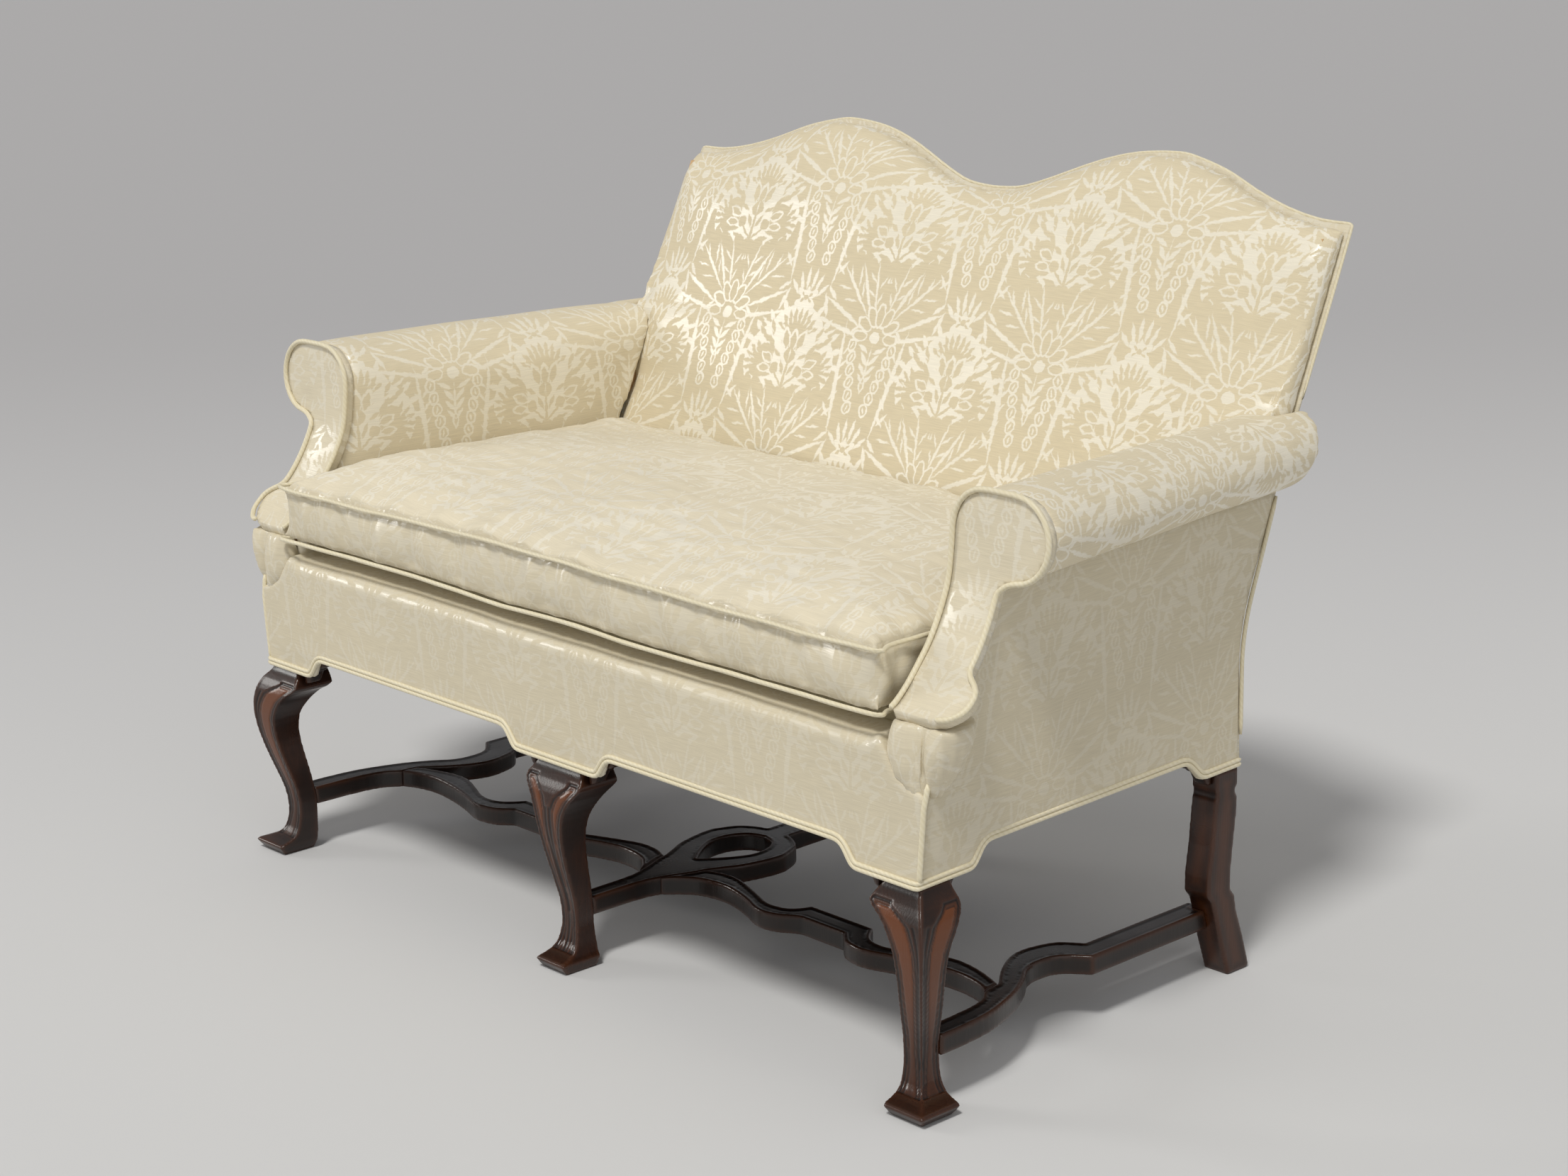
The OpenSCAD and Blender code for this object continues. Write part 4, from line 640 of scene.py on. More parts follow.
KNEE = [
    (0, 0.46), (0.046, 0.52), (0.062, 0.48), (0.085, 0.42), (0.13, 0.35), (0.2, 0.29), (0.25, 0.29), (0.33, 0.3),
    (0.415, 0.32), (0.51, 0.35), (0.62, 0.4), (0.71, 0.46), (0.79, 0.56), (0.85, 0.72), (0.915, 1), (0.95, 0.95),
    (0.999, 0.82),
]
# Sizes that the outlines are shares of, in metres: the corner's reach, a corner leg's face and the centre leg's half
REACH, FACE, HALF_KNEE = 0.020, 0.035, 0.050


def leg_share(table, z, size):
    """A leg's outline at a height, in metres."""
    return np.interp(z / LEG_HEIGHT, *np.transpose(table)) * size


def panel_cut(inside, depth):
    """Depth of a sunk panel, from how far each point lies inside its outline: an incised line, a bead beside it and
    a shallow field. Also how much painted warm glow the field gets, as if lit."""
    line, bead, field = bell(inside, 0.0016), bell(inside - 0.0046, 0.0011), inside > 0.0022
    cut = -depth * line - 0.55 * depth * bead - 0.45 * depth * field
    return cut, np.clip((inside - 0.0012) / 0.0045, 0, 1)


def corner_leg_relief(places, normals, depth):
    """Carving of a front corner leg: on each outer face one long leaf panel, from the wing of the knee to the foot,
    with a rounded ridge between the two."""
    x, z = np.abs(places[:, 0]) - 0.608, places[:, 2]
    y = places[:, 1] + MIDDLE - 0.003
    out = leg_share(LEG_OUT, z, REACH)
    front = -normals[:, 1] > np.abs(normals[:, 0])
    from_ridge = np.where(front, out - x, y + out)
    width = out + np.where(front, leg_share(LEG_WING, z, FACE), leg_share(LEG_IN, z, FACE))
    outer = (front | (normals[:, 0] * np.sign(places[:, 0]) > np.abs(normals[:, 1]))) & (np.abs(normals[:, 2]) < 0.8)
    inner = width * np.interp(z, [0.015, 0.05, 0.07, 0.16, 0.195, 0.222, 0.24], [0.1, 0.16, 0.23, 0.2, 0.23, 0.33, 0.6])
    inside = np.minimum(np.minimum(from_ridge - inner, width - 0.0045 - from_ridge), np.minimum(z - 0.016, 0.241 - z))
    cut, rubbed = panel_cut(inside, depth)
    groove = bell(from_ridge - inner * 0.55, 0.0012) * (z < 0.225)
    ridge = depth * (0.4 * bell(from_ridge, 0.003) - groove) * (z > 0.05)
    # The painted glow fades towards the foot: painted shade near the floor
    return (cut + ridge) * outer, rubbed * outer * np.clip((z - 0.02) / 0.12, 0.25, 1)


def centre_leg_relief(places, normals, depth):
    """Carving of the front of the centre leg: a V of two lobed panels on the knee over a long narrow one."""
    x, z = np.abs(places[:, 0]), places[:, 2]
    half = leg_share(KNEE, z, HALF_KNEE)
    front = -normals[:, 1] > 0.6
    heights = [0.015, 0.05, 0.07, 0.14, 0.18, 0.205, 0.222, 0.24]
    inner = half * np.interp(z, heights, [0.04, 0.08, 0.12, 0.14, 0.22, 0.18, 0.3, 0.62])
    inside = np.minimum(np.minimum(x - inner, half - 0.0048 - x), np.minimum(z - 0.016, 0.243 - z))
    cut, rubbed = panel_cut(inside, depth)
    vee = -depth * bell(x - 0.42 * inner, 0.0013) * (z > 0.07) * (z < 0.21)
    # The painted glow fades towards the foot: painted shade near the floor
    return (cut + vee) * front, rubbed * front * np.clip((z - 0.02) / 0.12, 0.25, 1)


def plain_relief(places, normals, away):
    """No carving; a little painted warm glow down the middle of the faces, as if lit."""
    return np.zeros(len(places)), 0.35 * np.clip((away - 0.006) / 0.01, 0, 1)


def carved(node, name, voxel, relief, material, radius=0.002):
    """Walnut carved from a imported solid: an even skin, eased corners, then the cuts."""
    edges = corners(node)
    obj = remeshed(copy_of(node), name, voxel, 1)
    mesh = obj.data
    places, normals = points(mesh), points(mesh, "normal")
    away = near(places, edges)
    places = places - normals * (rounding(away, radius) * 0.8)[:, None]
    cut, rubbed = relief(places, normals, away)
    put(mesh, relaxed(mesh, places + normals * cut[:, None], 1, 0.35))
    edge_marks(obj, 0.0022 / (voxel * COARSER), rubbed)
    dress(obj, material, "frame", "walnut", node)


def board_relief(places, normals, away):
    """A bead along both edges of a stretcher's top, beside a scratched groove."""
    top = normals[:, 2] > 0.5
    groove, bead, field = bell(away - 0.0066, 0.0013), bell(away - 0.0035, 0.0016), away > 0.0078
    cut = top * (0.0008 * bead - 0.0015 * groove - 0.0009 * field)
    # A little painted warm glow down the middle of the faces
    return cut, 0.3 * np.clip((away - 0.008) / 0.01, 0, 1)


class SETTEE_OT_front_legs(bpy.types.Operator):
    """Carves the three front legs, with a ridge, leaf panels and a framed foot"""

    bl_idname = "settee.front_legs"
    bl_label = "Front legs"

    def execute(self, context):
        depth = context.scene.settee_sizes.cut_depth
        for side, relief in (("left", corner_leg_relief), ("right", corner_leg_relief), ("centre", centre_leg_relief)):
            cuts = lambda p, n, a, r=relief: r(p, n, depth)
            carved(f"front_leg_{side}", f"carved_front_leg_{side}", 0.0017, cuts, walnut())
        return {"FINISHED"}


class SETTEE_OT_rear_legs(bpy.types.Operator):
    """Shapes the three plain rear legs with eased corners and worn feet"""

    bl_idname = "settee.rear_legs"
    bl_label = "Rear legs"

    def execute(self, context):
        for side in ("left", "right", "centre"):
            carved(f"rear_leg_{side}", f"shaped_rear_leg_{side}", 0.0022, plain_relief, walnut(), 0.0025)
        return {"FINISHED"}


class SETTEE_OT_stretchers(bpy.types.Operator):
    """Moulds the top edges of the flat stretchers, and eases the brackets"""

    bl_idname = "settee.stretchers"
    bl_label = "Stretchers and brackets"

    def execute(self, context):
        names = [f"{place}_stretcher_{side}" for place in ("side", "cross") for side in ("left", "right")]
        for name in names + ["centre_stretcher"]:
            carved(name, f"moulded_{name}", 0.0022, board_relief, shaded_walnut())
        carved("leg_brackets", "shaped_leg_brackets", 0.0022, plain_relief, shaded_walnut(), 0.0015)
        return {"FINISHED"}


def cushion_map(places, facing):
    """The cushion's top and bottom run from front to back, its boxing goes round with the figure upright."""
    x, y, z = places.T
    boxing = (np.abs(facing[:, 2]) < 0.72) & (z > 0.437) & (z < 0.517)
    ends = boxing & (np.abs(facing[:, 0]) > np.abs(facing[:, 1]))
    u = np.where(ends, y + 0.9, x)
    v = np.where(boxing, z - 0.46, np.where(z > 0.48, y + 0.52, -y - 0.4))
    return u, v


def seam_sway(places):
    """Lets the cushion's seams wander and its lower front edge lift, for the filling and the piping alike."""
    x, y, z = places.T
    low = np.clip((BETWEEN_SEAMS - z) / 0.03, 0, 1)
    high = np.clip((z - BETWEEN_SEAMS) / 0.03, 0, 1)
    front = np.clip((0.06 - (y + MIDDLE)) / 0.06, 0, 1)
    lift = front * low * (0.003 + 0.0018 * np.sin(x * 15 + 0.7 + 1.1 * np.sin(x * 9)))
    lift += front * high * (0.0026 * np.sin(x * 8 + 2.0) + 0.0006 * np.sin(x * 39))
    push = front * (0.0018 * np.sin(x * 11 + 1.0) + 0.0006 * np.sin(x * 53 + z * 30))
    return np.stack([x, y - push - 0.002 * front * low, z + lift], axis=1)


class SETTEE_OT_seat_cushion(bpy.types.Operator):
    """Makes the loose down seat cushion, swollen between its two piped seams"""

    bl_idname = "settee.seat_cushion"
    bl_label = "Seat cushion"

    def execute(self, context):
        obj = remeshed(copy_of("seat_cushion"), "damask_seat_cushion", 0.0085, 4)
        seams = around("cushion_piping")
        places = points(obj.data)
        away = near(places, seams)
        flat_below = places[:, 2] < 0.434
        held = np.where(away < 0.011, 1.0, np.where(flat_below, 0.75, 0.0))
        swollen(obj, held, context.scene.settee_sizes.cushion_swell, 4.0)
        finer(obj)
        mesh = obj.data
        places, normals = points(mesh), points(mesh, "normal")
        away = near(places, seams)
        x, y, z = places.T
        boxing = (z > 0.442) & (z < 0.512) & (np.abs(normals[:, 2]) < 0.85)
        top = normals[:, 2] > 0.3
        along = np.where(np.abs(normals[:, 0]) > np.abs(normals[:, 1]), y, x)
        wave = np.sin(along * 170 + 1.8 * np.sin(along * 23) + 2.2 * np.sin(along * 9.1))
        folds = np.sin(along * 128 + 2.5 * np.sin(along * 17 + 1) + z * 22) * np.cos(along * 41 + 1.3)
        rounded = np.sin(np.pi * np.clip((z - 0.44) / 0.074, 0, 1))
        move = -0.0028 * bell(away, 0.0065)
        move += 0.0008 * wave * np.exp(-away / 0.014) * (away > 0.002)
        folds *= 0.6 + 0.4 * ripple(places, 0.3, 1.0)
        move += boxing * rounded * (0.005 + 0.0042 * folds + 0.003 * ripple(places, 0.21, 5.0))
        places = places + normals * move[:, None]
        crown = 0.019 * (1 - np.exp(-away / 0.055))
        crown += 0.006 * ripple(places * [1, 1, 0], 0.42, 2.0) * np.clip(away / 0.06, 0, 1)
        crown += 0.0022 * ripple(places * [1, 2.2, 0], 0.12, 4.0) * np.clip(away / 0.04, 0, 1)
        places[:, 2] += top * crown
        places[:, 2] = np.maximum(places[:, 2], UNDERSIDE)
        put(mesh, seam_sway(places))
        # Painted shade on the upright boxing: a lower share than the top makes it darker, with a fainter figure
        aside = smoothed(mesh, (np.abs(points(mesh, "normal")[:, 2]) < 0.7).astype(float), 4)
        map_cloth(obj, cushion_map, 0.6 - 0.2 * aside)
        dress(obj, damask(), "cushion", "damask", "seat_cushion")
        return {"FINISHED"}


def back_map(places, facing):
    """The inside back's cloth goes up the front, over the top roll and round both free edges."""
    x, y, z = places.T
    depth = np.maximum(y - (back_y(z) - 0.057), 0)
    over_top = np.clip(facing[:, 2], 0, 1) * depth
    over_side = np.clip(np.abs(facing[:, 0]), 0, 1) * depth
    return x + np.sign(x) * over_side, z * 1.09 + over_top - 0.5


class SETTEE_OT_inside_back(bpy.types.Operator):
    """Makes the stuffed inside back with its two humps, drawn tight over the top and the free edges"""

    bl_idname = "settee.inside_back"
    bl_label = "Inside back"

    def execute(self, context):
        # The posts and rails fill the stuffing's pockets, so that the skin over them stays whole
        filled = copy_of("inside_back", "back_top_rail", "back_post_left", "back_post_right", "back_stile")
        everything = filled.verts[:] + filled.edges[:] + filled.faces[:]
        cut = bmesh.ops.bisect_plane(
            filled, geom=everything, plane_co=(0, 0, 0.45), plane_no=(0, 0, -1), clear_outer=True
        )
        bmesh.ops.edgeloop_fill(filled, edges=[e for e in cut["geom_cut"] if isinstance(e, bmesh.types.BMEdge)])
        obj = remeshed(filled, "damask_inside_back", 0.0075, 3)
        mesh = obj.data
        seam = around("back_piping")
        places, normals = points(mesh), points(mesh, "normal")
        depth = back_y(places[:, 2]) - places[:, 1]
        show = (depth > 0.034) & (normals[:, 1] < 0.2)
        held = np.where(show & (near(places, seam) > 0.02) & (places[:, 2] > 0.43), 0.0, 1.0)
        held = smoothed(mesh, held, 3)
        swollen(obj, held, context.scene.settee_sizes.back_swell, 4.0, 0.0015)
        finer(obj)
        mesh = obj.data
        places, normals = points(mesh), points(mesh, "normal")
        away = near(places, seam)
        front = normals[:, 1] < -0.2
        move = front * (0.0018 * ripple(places, 0.5, 3.0) + 0.0006 * ripple(places, 0.16, 5.0))
        pucker = np.sin(places[:, 0] * 210 + 2 * np.sin(places[:, 0] * 31))
        move += 0.0007 * pucker * np.exp(-away / 0.016) * (np.abs(places[:, 0]) < 0.56)
        put(mesh, places + normals * move[:, None])
        map_cloth(obj, back_map)
        dress(obj, damask(), "frame", "damask", "inside_back")
        return {"FINISHED"}


def arm_map(places, facing):
    """The arm's cloth goes up its inner face, over the flat top and round the scroll."""
    x, y, z = np.abs(places[:, 0]), places[:, 1], places[:, 2]
    # Height of the middle of both roundings, their radius, and how far up the cloth the flat top begins
    middle, radius, flat = 0.629, 0.045, 0.6997
    inner, outer = inside_x(y) + radius, roll_x(y)
    rise = np.where(z < middle, z, middle + radius * np.arctan2(z - middle, np.maximum(inner - x, 1e-6)))
    over = flat + x - inner
    turned = flat + outer - inner + radius * np.arctan2(np.maximum(x - outer, 0), z - middle)
    v = np.where(x < inner, rise, np.where(x < outer, over, turned))
    return y + 0.04 + 0.3 * (places[:, 0] > 0), v


class SETTEE_OT_arms(bpy.types.Operator):
    """Makes the two stuffed arms, from the seat up over the scroll"""

    bl_idname = "settee.arms"
    bl_label = "Arms"

    def execute(self, context):
        for side in ("left", "right"):
            obj = remeshed(copy_of(f"arm_roll_{side}"), f"damask_arm_{side}", 0.0062, 4)
            mesh = obj.data
            places, normals = points(mesh), points(mesh, "normal")
            x, y, z = places.T
            depth = back_y(z) - y
            show = (normals[:, 1] > -0.7) & (normals[:, 2] > -0.75) & (z > 0.43) & (depth > 0.075)
            held = smoothed(mesh, np.where(show, 0.0, 1.0), 3)
            swollen(obj, held, context.scene.settee_sizes.arm_swell, 3.0, 0.001)
            finer(obj)
            mesh = obj.data
            places, normals = points(mesh), points(mesh, "normal")
            x, y, z = places.T
            front = np.clip(1 - (y + MIDDLE - np.interp(z, [0.44, 0.674], [0.01, ARM_SET_BACK])) / 0.03, 0, 1)
            gather = np.sin(z * 260 + x * 120) * front
            move = 0.0006 * gather + 0.0012 * ripple(places, 0.34, 2.0 if side == "left" else 3.3)
            put(mesh, places + normals * move[:, None])
            # A share of 0.85 paints a little shade on the arms: a slightly fainter figure
            map_cloth(obj, arm_map, 0.85)
            dress(obj, damask(), "frame", "damask", f"arm_roll_{side}")
        return {"FINISHED"}


def panel(node, step, towards, axes):
    """A tight cover on a thin panel: it stands 2 mm out over the wadding, on the side that shows."""
    edges = corners(node, 50, 0.004)
    shape = copy_of(node)
    gridded(shape, step, axes)
    obj = piece(shape, f"damask_{node}", damask(), "frame", "damask", node, sharp=50)
    mesh = obj.data
    places, normals = points(mesh), points(mesh, "normal")
    away = near(places, edges)
    outward = normals @ np.array(towards, float) > 0.5
    move = outward * 0.002 * (1 - np.exp(-away / 0.018)) * (1 + 0.25 * ripple(places, 0.3, 1.0))
    put(mesh, places + normals * move[:, None])
    return obj


class SETTEE_OT_outside_covers(bpy.types.Operator):
    """Makes the flat covers of the outside arms and the outside back"""

    bl_idname = "settee.outside_covers"
    bl_label = "Outside covers"

    def execute(self, context):
        # The outside covers get painted shade through their low shares: darker, with a fainter figure
        for side, sign in (("left", -1), ("right", 1)):
            obj = panel(f"outside_arm_{side}", 0.012, (sign, 0, 0), "yz")
            map_cloth(obj, lambda p, f: (p[:, 1] + 0.11, p[:, 2] - 0.08), 0.35)
        obj = panel("outside_back", 0.014, (0, 1, 0), "xz")
        map_cloth(obj, lambda p, f: (p[:, 0], p[:, 2] * 1.09 - 0.5), 0.45)
        return {"FINISHED"}


class SETTEE_OT_front_border(bpy.types.Operator):
    """Makes the stuffed border under the cushion, rolled at the top and shaped at its lower edge"""

    bl_idname = "settee.front_border"
    bl_label = "Front border"

    def execute(self, context):
        obj = remeshed(copy_of("front_border"), "damask_front_border", 0.0034, 2)
        mesh = obj.data
        places = points(mesh)
        # The cover goes on round the corner until it meets the outside arm
        ends = np.clip((np.abs(places[:, 0]) - 0.585) / 0.015, 0, 1)
        flare = ARM_LEAN * np.clip((places[:, 2] - LEG_HEIGHT) / ARM_HEIGHT, 0, 1)
        places[:, 0] += np.sign(places[:, 0]) * ends * (0.0032 + flare)
        between = np.clip((0.552 - np.abs(places[:, 0])) / 0.02, 0, 1)
        places[:, 2] -= between * 0.011 * np.clip((places[:, 2] - 0.35) / 0.07, 0, 1) ** 1.5
        put(mesh, places)
        normals = points(mesh, "normal")
        front = np.clip(-normals[:, 1] * 1.4, 0, 1)
        fade = np.clip((places[:, 2] - 0.262) / 0.03, 0, 1) * np.clip((0.6 - np.abs(places[:, 0])) / 0.03, 0, 1)
        crease = np.sin(places[:, 0] * 95 + 2.2 * np.sin(places[:, 0] * 13)) * bell(places[:, 2] - 0.275, 0.03)
        move = front * fade * (0.0016 + 0.0014 * ripple(places, 0.36, 6.0) + 0.0005 * crease)
        put(mesh, places + normals * move[:, None])
        # The border gets painted shade through its low share: darker, with a fainter figure
        map_cloth(obj, lambda p, f: (p[:, 0] + 0.145, p[:, 2] + (p[:, 1] + 0.3836) * (f[:, 2] > 0.6) - 0.19), 0.4)
        dress(obj, damask(), "frame", "damask", "front_border")
        return {"FINISHED"}


class SETTEE_OT_arm_fronts(bpy.types.Operator):
    """Makes the padded facings of the arms and the gathered cones under their ledges"""

    bl_idname = "settee.arm_fronts"
    bl_label = "Arm fronts"

    def execute(self, context):
        for side in ("left", "right"):
            node = f"arm_facing_{side}"
            shape = copy_of(node)
            gridded(shape, 0.007)
            obj = piece(shape, f"damask_{node}", damask(), "frame", "damask", node, sharp=55)
            mesh = obj.data
            places, normals = points(mesh), points(mesh, "normal")
            away = near(places, corners(node, 50, 0.003))
            front = (normals[:, 1] < -0.25) | (normals[:, 2] > 0.6)
            padding = 0.0022 * (1 - np.exp(-away / 0.012))
            move = front * (padding + 0.0007 * ripple(places, 0.07, 2.0) * np.clip(away / 0.02, 0, 1))
            put(mesh, places + normals * move[:, None])
            # The facing gets painted shade through its share of 0.5: a little darker, with a fainter figure
            map_cloth(obj, lambda p, f: (p[:, 0] + 0.05, p[:, 2] + 0.6 * p[:, 1] - 0.1), 0.5)

            node = f"arm_cone_{side}"
            obj = remeshed(copy_of(node), f"damask_arm_cone_{side}", 0.0024, 4)
            mesh = obj.data
            places, normals = points(mesh), points(mesh, "normal")
            x, y, z = places.T
            # Round the cone's upright axis, and up from its foot to the ledge
            turn = np.arctan2(y + 0.3616, np.abs(x) - 0.600)
            rise = np.clip((z - 0.366) / 0.074, 0, 1)
            fold = np.sin(turn * 15 + 2.2 * rise) * (0.35 + 0.65 * (1 - rise))
            # Two puffs, parted by the fold that is gathered to a point over the corner
            gather = -0.0075 * bell(turn + 0.8, 0.15) * (1 - rise) ** 0.6 - 0.002 * bell(turn + 0.1, 0.1) * (1 - rise)
            puff = 0.0085 * np.sin(np.pi * rise) ** 0.7
            move = puff + 0.0009 * fold + gather + 0.0006 * ripple(places, 0.03, 1.0)
            places = places + normals * move[:, None]
            places[:, 2] -= 0.005 * (1 - rise) ** 2
            put(mesh, relaxed(mesh, places, 1, 0.4))
            # The cone gets painted shade through its low share: darker, with a fainter figure
            side_on = lambda f: np.abs(f[:, 0]) > 0.7
            map_cloth(obj, lambda p, f: (np.where(side_on(f), p[:, 1], p[:, 0]) + 0.06, p[:, 2] - 0.31), 0.42)
            dress(obj, damask(), "frame", "damask", node)
        return {"FINISHED"}


def panel_corner(sign, z):
    """Rear edge of an outside arm at a height, just proud of both covers."""
    y = float(back_y(z))
    depth = y + MIDDLE
    foot = HALF_FRONT - NARROWER * depth / SEAT_DEPTH
    top = float(inside_x(y)) + ARM_THICK
    return sign * (foot + (top - foot) * (z - LEG_HEIGHT) / ARM_HEIGHT + 0.0008), y + 0.0008, z


# Shaped lower edge of the covers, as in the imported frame: share of the length, and of the rise between the lappets
FRONT_EDGE = [
    (0, 0), (0.126, 0), (0.139, 0.12), (0.155, 0.88), (0.168, 1), (0.803, 1), (0.816, 0.88), (0.832, 0.12),
    (0.845, 0), (1, 0),
]
SIDE_EDGE = [
    (0, 0), (0.155, 0), (0.168, 0.12), (0.187, 0.88), (0.2, 1), (0.81, 1), (0.825, 0.88), (0.86, 0.12),
    (0.876, 0), (1, 0),
]
LAPPET_RISE = 0.026


def hem_path(rise):
    """A line along the lower edge of the side, front and other side, at a distance up the covers."""
    flat, step, proud, half_way = [], 0.003, 0.0016, SEAT_DEPTH + HALF_FRONT
    for table, length, start in ((SIDE_EDGE, SEAT_DEPTH, 0.0), (FRONT_EDGE, HALF_FRONT, SEAT_DEPTH)):
        for i in range(round(length / step)):
            share = 1 - i * step / length
            flat.append((start + i * step, LEG_HEIGHT + LAPPET_RISE * float(np.interp(share, *np.transpose(table)))))
    flat += [(2 * half_way - along, z) for along, z in reversed(flat)]
    line = np.array(flat)
    for _ in range(6):
        line[1:-1, 1] = (line[:-2, 1] + 2 * line[1:-1, 1] + line[2:, 1]) / 4
    slope = np.gradient(line, axis=0)
    slope /= np.linalg.norm(slope, axis=1)[:, None]
    line = line + np.stack([-slope[:, 1], slope[:, 0]], axis=1) * rise
    path = []
    for along, z in line:
        on_left = along < half_way
        from_rear = along if on_left else 2 * half_way - along
        y = max(SEAT_DEPTH - from_rear, 0.0)
        if from_rear > SEAT_DEPTH:
            x, y = min(half_way - from_rear, HALF_FRONT), -proud
        else:
            x = HALF_FRONT - NARROWER * y / SEAT_DEPTH + proud
        path.append(((-x if on_left else x), y - MIDDLE, float(z)))
    return path


def tube(path, radius):
    """A cord along a path: rings of twelve, bridged, with rounded-off ends."""
    shape = bmesh.new()
    path = [Vector(p) for p in path]
    rings = []
    for i, place in enumerate(path):
        along = (path[min(i + 1, len(path) - 1)] - path[max(i - 1, 0)]).normalized()
        turn = Matrix.Translation(place) @ along.to_track_quat("Z", "X").to_matrix().to_4x4()
        size = radius * (0.6 if i in (0, len(path) - 1) else 1)
        made = bmesh.ops.create_circle(shape, cap_ends=False, segments=12, radius=size, matrix=turn)["verts"]
        rings.append(list({e for v in made for e in v.link_edges}))
    for a, b in zip(rings, rings[1:]):
        bmesh.ops.bridge_loops(shape, edges=a + b)
    bmesh.ops.edgeloop_fill(shape, edges=rings[0])
    bmesh.ops.edgeloop_fill(shape, edges=rings[-1])
    bmesh.ops.recalc_face_normals(shape, faces=shape.faces)
    return shape


class SETTEE_OT_pipings(bpy.types.Operator):
    """Rounds the piping of every seam, and the double welt along the lower edge"""

    bl_idname = "settee.pipings"
    bl_label = "Pipings"

    def execute(self, context):
        for node, body in (
            ("facing_piping_left", "frame"),
            ("facing_piping_right", "frame"),
            ("back_piping", "frame"),
            ("cushion_piping", "cushion"),
        ):
            obj = piece(copy_of(node), f"silk_{node}", piping(), body, "piping", node)
            finer(obj)
            thicker = {"back_piping": -0.0004, "cushion_piping": 0.0003}.get(node, 0.0009)
            places = points(obj.data) + points(obj.data, "normal") * thicker
            if node == "back_piping":
                # The cord of the back lies half sunk in its seam
                places[:, 0] *= 0.9965
                places[:, 2] += 0.0045 * (0.45 - places[:, 2])
            if "facing" in node:
                # On the ledge the cord hangs over the front edge
                low = np.clip((0.475 - places[:, 2]) / 0.012, 0, 1)
                places[:, 1] -= low * 0.0024
                places[:, 2] -= low * 0.0012
                outer = np.clip((np.abs(places[:, 0]) - 0.61) / 0.03, 0, 1)
                places[:, 0] += np.sign(places[:, 0]) * low * outer * 0.0018
            put(obj.data, seam_sway(places) if body == "cushion" else places)
            dress(obj, piping(), body, "piping")
        for side, sign in (("left", -1), ("right", 1)):
            path = [panel_corner(sign, 0.2985 + 0.0125 * i) for i in range(23)]
            piece(tube(path, 0.0026), f"silk_rear_seam_piping_{side}", piping(), "frame", "piping")
            # The border and the outside arm are sewn together down the front corner
            path = [
                (
                    sign * (0.6066 + 0.0006 * i + 0.0002 * math.sin(i * 2.3)),
                    -0.3812 + 0.0011 * max(i - 12, 0),
                    0.268 + 0.007 * i,
                )
                for i in range(17)
            ]
            piece(tube(path, 0.0032), f"silk_corner_seam_{side}", piping(), "frame", "piping")
        lower, upper = (tube(hem_path(rise), radius) for rise, radius in ((0.0029, 0.0029), (0.0082, 0.0026)))
        piece(lower, "silk_double_welt_lower", piping(), "frame", "piping", "hem_welt")
        piece(upper, "silk_double_welt_upper", piping(), "frame", "piping")
        return {"FINISHED"}


class SETTEE_OT_hidden_frame(bpy.types.Operator):
    """Gives the frame, webbing, hessian and screws under the covers their finishes"""

    bl_idname = "settee.hidden_frame"
    bl_label = "Hidden frame"

    def execute(self, context):
        # Beech, planed: pale, with fine short flecks along the grain
        beech = plain_finish("beech_planed", "#b58f5f", "#d2b083", 0.6, (18.0, 140.0, 60.0))
        # Jute webbing and hessian, plain woven from 2 mm yarn
        jute = plain_finish("jute_woven", "#8a6f45", "#b79c6a", 0.9, (350.0, 350.0, 350.0), depth=0.0008)
        # Cotton dust cover, dyed black and calendered
        black = plain_finish("cotton_dyed_black", "#1c1c1d", "#323234", 0.85, (500.0, 500.0, 60.0))
        # Wood screws, cut from steel rod and dulled
        steel = plain_finish("steel_turned", "#77777a", "#a3a3a6", 0.42, (90.0, 90.0, 900.0), 1.0, 0.0001)
        # Calico seat deck under the cushion, undyed cotton
        calico = plain_finish("calico_undyed", "#b9ad8c", "#d5cbaa", 0.85, (420.0, 420.0, 420.0))
        by_slot = {"beech": beech, "jute": jute, "black_cloth": black, "steel": steel}
        for name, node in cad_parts.items():
            for slot in node.material_slots:
                word = slot.material.name.split(".")[0] if slot.material else ""
                for key, material in by_slot.items():
                    if key in word:
                        slot.material = material
            if name == "seat_deck":
                node.material_slots[0].material = calico
        return {"FINISHED"}


def look_at(obj, place, target):
    """Puts a lamp in a place, turned to a target."""
    direction = (Vector(target) - Vector(place)).normalized()
    turn = direction.to_track_quat("-Z", "Y").to_matrix().to_4x4()
    obj.matrix_world = Matrix.Translation(place) @ turn


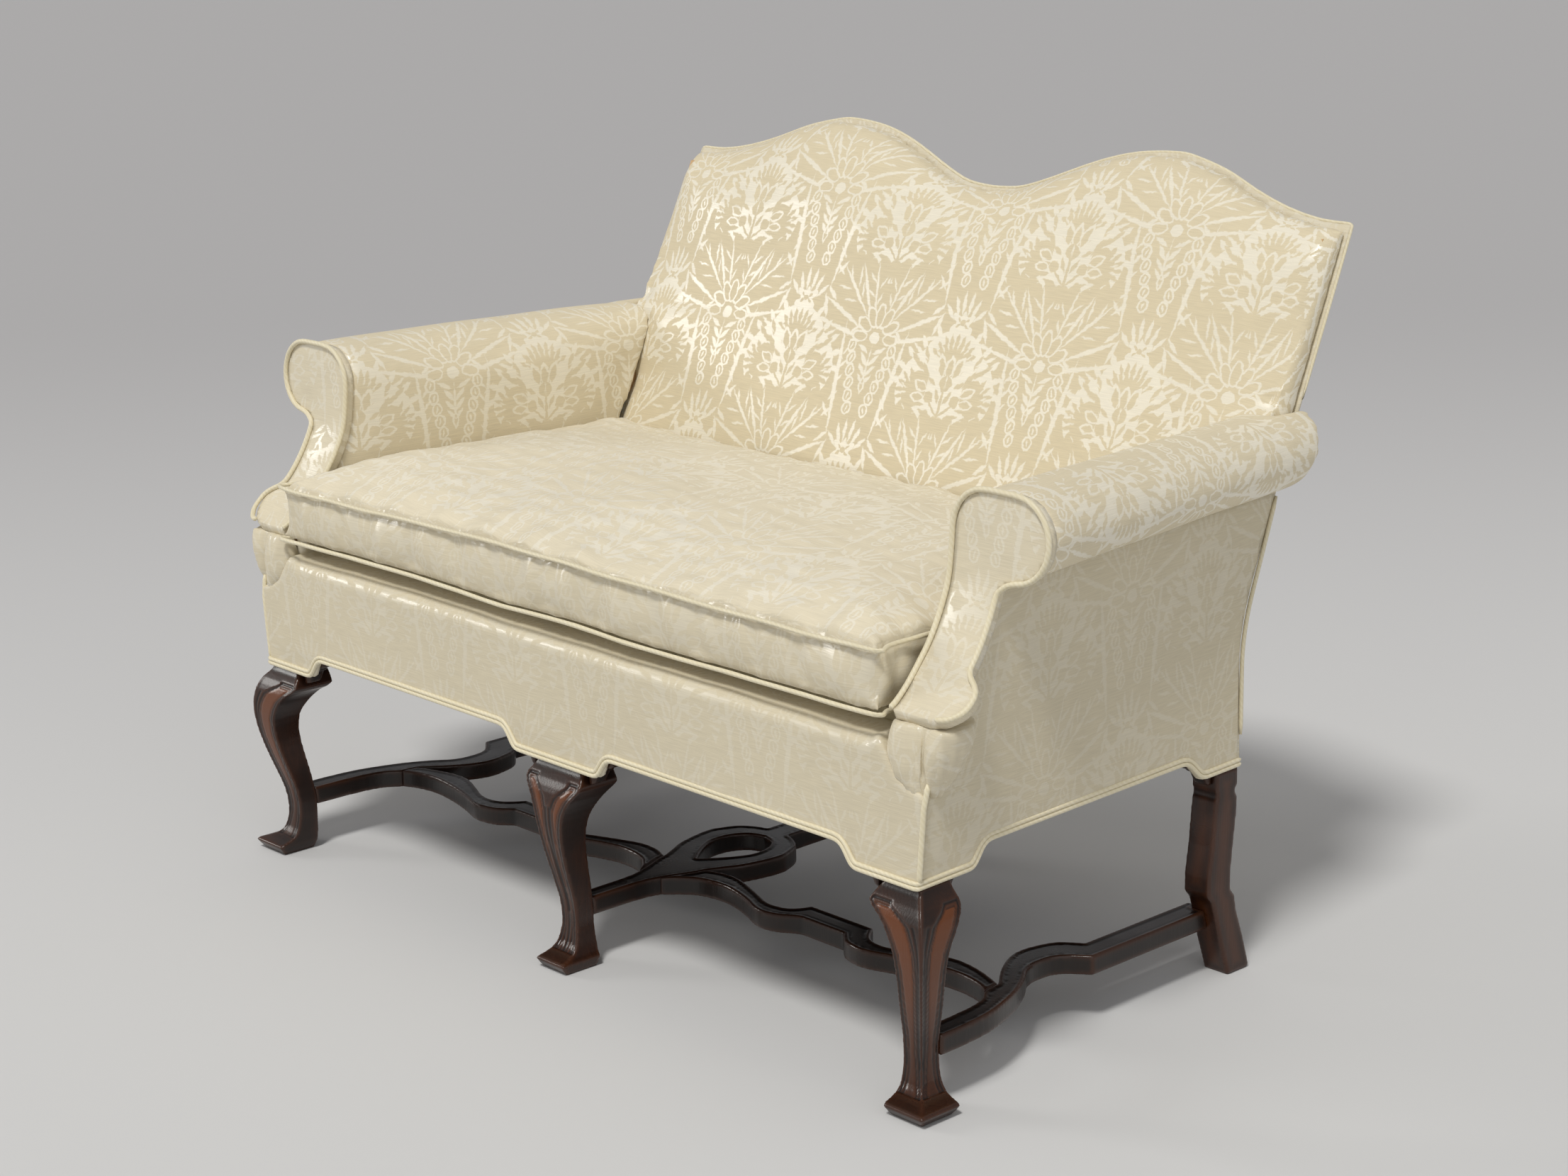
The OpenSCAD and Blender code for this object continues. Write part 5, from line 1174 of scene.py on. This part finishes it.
class SETTEE_OT_studio(bpy.types.Operator):
    """Sets the floor with its painted light falloff, the soft light and the camera at the photograph's angle"""

    bl_idname = "settee.studio"
    bl_label = "Studio"

    def execute(self, context):
        scene = context.scene
        # Photographic paper, coated and matt: a pale grey without a highlight, with painted falloff of the light
        paper, tree = new_material("paper_backdrop_matt")
        where = add(tree, "ShaderNodeTexCoord")[3]
        # Painted light falloff: the paper is painted darker behind the settee, over five metres along the camera's view
        depth = add(tree, "ShaderNodeVectorMath", {0: where, 1: (-0.7355, 0.6775, 0.0)}, operation="DOT_PRODUCT")[1]
        far = add(tree, "ShaderNodeMapRange", {0: depth, 1: -0.9, 2: 4.5}, interpolation_type="SMOOTHSTEP")[0]
        near_and_far = {0: far, 6: linear("#d2d2d2"), 7: linear(scene.settee_colours.floor)}
        tone = add(tree, "ShaderNodeMix", near_and_far, data_type="RGBA")[2]
        close_shader(tree, {"Base Color": tone, "Roughness": 0.9, "Specular IOR Level": 0.1})
        shape = bmesh.new()
        bmesh.ops.create_grid(shape, x_segments=2, y_segments=2, size=40)
        floor = object_of(shape, "studio_floor")
        floor.data.materials.append(paper)

        world = bpy.data.worlds.new("studio")
        scene.world = world
        world.use_nodes = True
        tree = world.node_tree
        tree.nodes.clear()
        sky = add(tree, "ShaderNodeBackground", {"Color": linear("#f1f1f3"), "Strength": 0.35})[0]
        # Past the paper's edge the camera sees a wall of the far paper's tone
        wall = add(tree, "ShaderNodeBackground", {"Color": linear("#adabac"), "Strength": 1.0})[0]
        seen = add(tree, "ShaderNodeLightPath")[0]
        both = add(tree, "ShaderNodeMixShader", {0: seen, 1: sky, 2: wall})[0]
        add(tree, "ShaderNodeOutputWorld", {"Surface": both})

        for name, place, power, angle in (
            ("key_sun", (0.45, -1.08, 2.25), 1.92, 11),
            ("right_sun", (3.0, -1.0, 1.5), 0.46, 60),
            ("left_sun", (-0.72, -0.42, 0.55), 0.62, 16),
        ):
            lamp = bpy.data.lights.new(name, "SUN")
            lamp.energy = power
            lamp.angle = math.radians(angle)
            lamp.color = (1.0, 0.985, 0.95)
            obj = bpy.data.objects.new(name, lamp)
            scene.collection.objects.link(obj)
            look_at(obj, place, (0, 0, 0.3))

        lens = bpy.data.cameras.new("photograph")
        lens.sensor_width = 36
        lens.sensor_fit = "HORIZONTAL"
        lens.lens = 70.843
        lens.clip_end = 200
        camera = bpy.data.objects.new("photograph", lens)
        scene.collection.objects.link(camera)
        azimuth, pitch, roll = math.radians(47.358), math.radians(15.153), math.radians(-0.965)
        forward = Vector((-math.sin(azimuth) * math.cos(pitch), math.cos(azimuth) * math.cos(pitch), -math.sin(pitch)))
        right = Vector((math.cos(azimuth), math.sin(azimuth), 0))
        up = right.cross(forward)
        right, up = right * math.cos(roll) + up * math.sin(roll), up * math.cos(roll) - right * math.sin(roll)
        turn = Matrix((right, up, -forward)).transposed().to_4x4()
        camera.matrix_world = Matrix.Translation((2.76175, -2.16878 - MIDDLE, 1.42134)) @ turn
        scene.camera = camera
        scene.view_settings.view_transform = "Standard"
        return {"FINISHED"}


OPERATORS = (
    SETTEE_OT_studio,
    SETTEE_OT_front_legs,
    SETTEE_OT_rear_legs,
    SETTEE_OT_stretchers,
    SETTEE_OT_hidden_frame,
    SETTEE_OT_front_border,
    SETTEE_OT_outside_covers,
    SETTEE_OT_arms,
    SETTEE_OT_arm_fronts,
    SETTEE_OT_inside_back,
    SETTEE_OT_seat_cushion,
    SETTEE_OT_pipings,
)


class SETTEE_PT_workshop(bpy.types.Panel):
    """Sizes, colours and steps of the settee"""

    bl_idname = "SETTEE_PT_workshop"
    bl_label = "Damask settee"
    bl_space_type = "VIEW_3D"
    bl_region_type = "UI"
    bl_category = "Settee"

    def draw(self, context):
        for group in (context.scene.settee_sizes, context.scene.settee_colours):
            box = self.layout.box()
            for name in group.bl_rna.properties.keys():
                if name not in ("rna_type", "name"):
                    box.prop(group, name)
        for operator in OPERATORS:
            self.layout.operator(operator.bl_idname)


CLASSES = (SetteeSizes, SetteeColours, *OPERATORS, SETTEE_PT_workshop)


def register():
    for cls in CLASSES:
        bpy.utils.register_class(cls)
    bpy.types.Scene.settee_sizes = PointerProperty(type=SetteeSizes)
    bpy.types.Scene.settee_colours = PointerProperty(type=SetteeColours)


def unregister():
    del bpy.types.Scene.settee_sizes
    del bpy.types.Scene.settee_colours
    for cls in reversed(CLASSES):
        bpy.utils.unregister_class(cls)


def main():
    register()
    for operator in OPERATORS:
        group, name = operator.bl_idname.split(".")
        getattr(getattr(bpy.ops, group), name)()


if __name__ == "__main__":
    main()
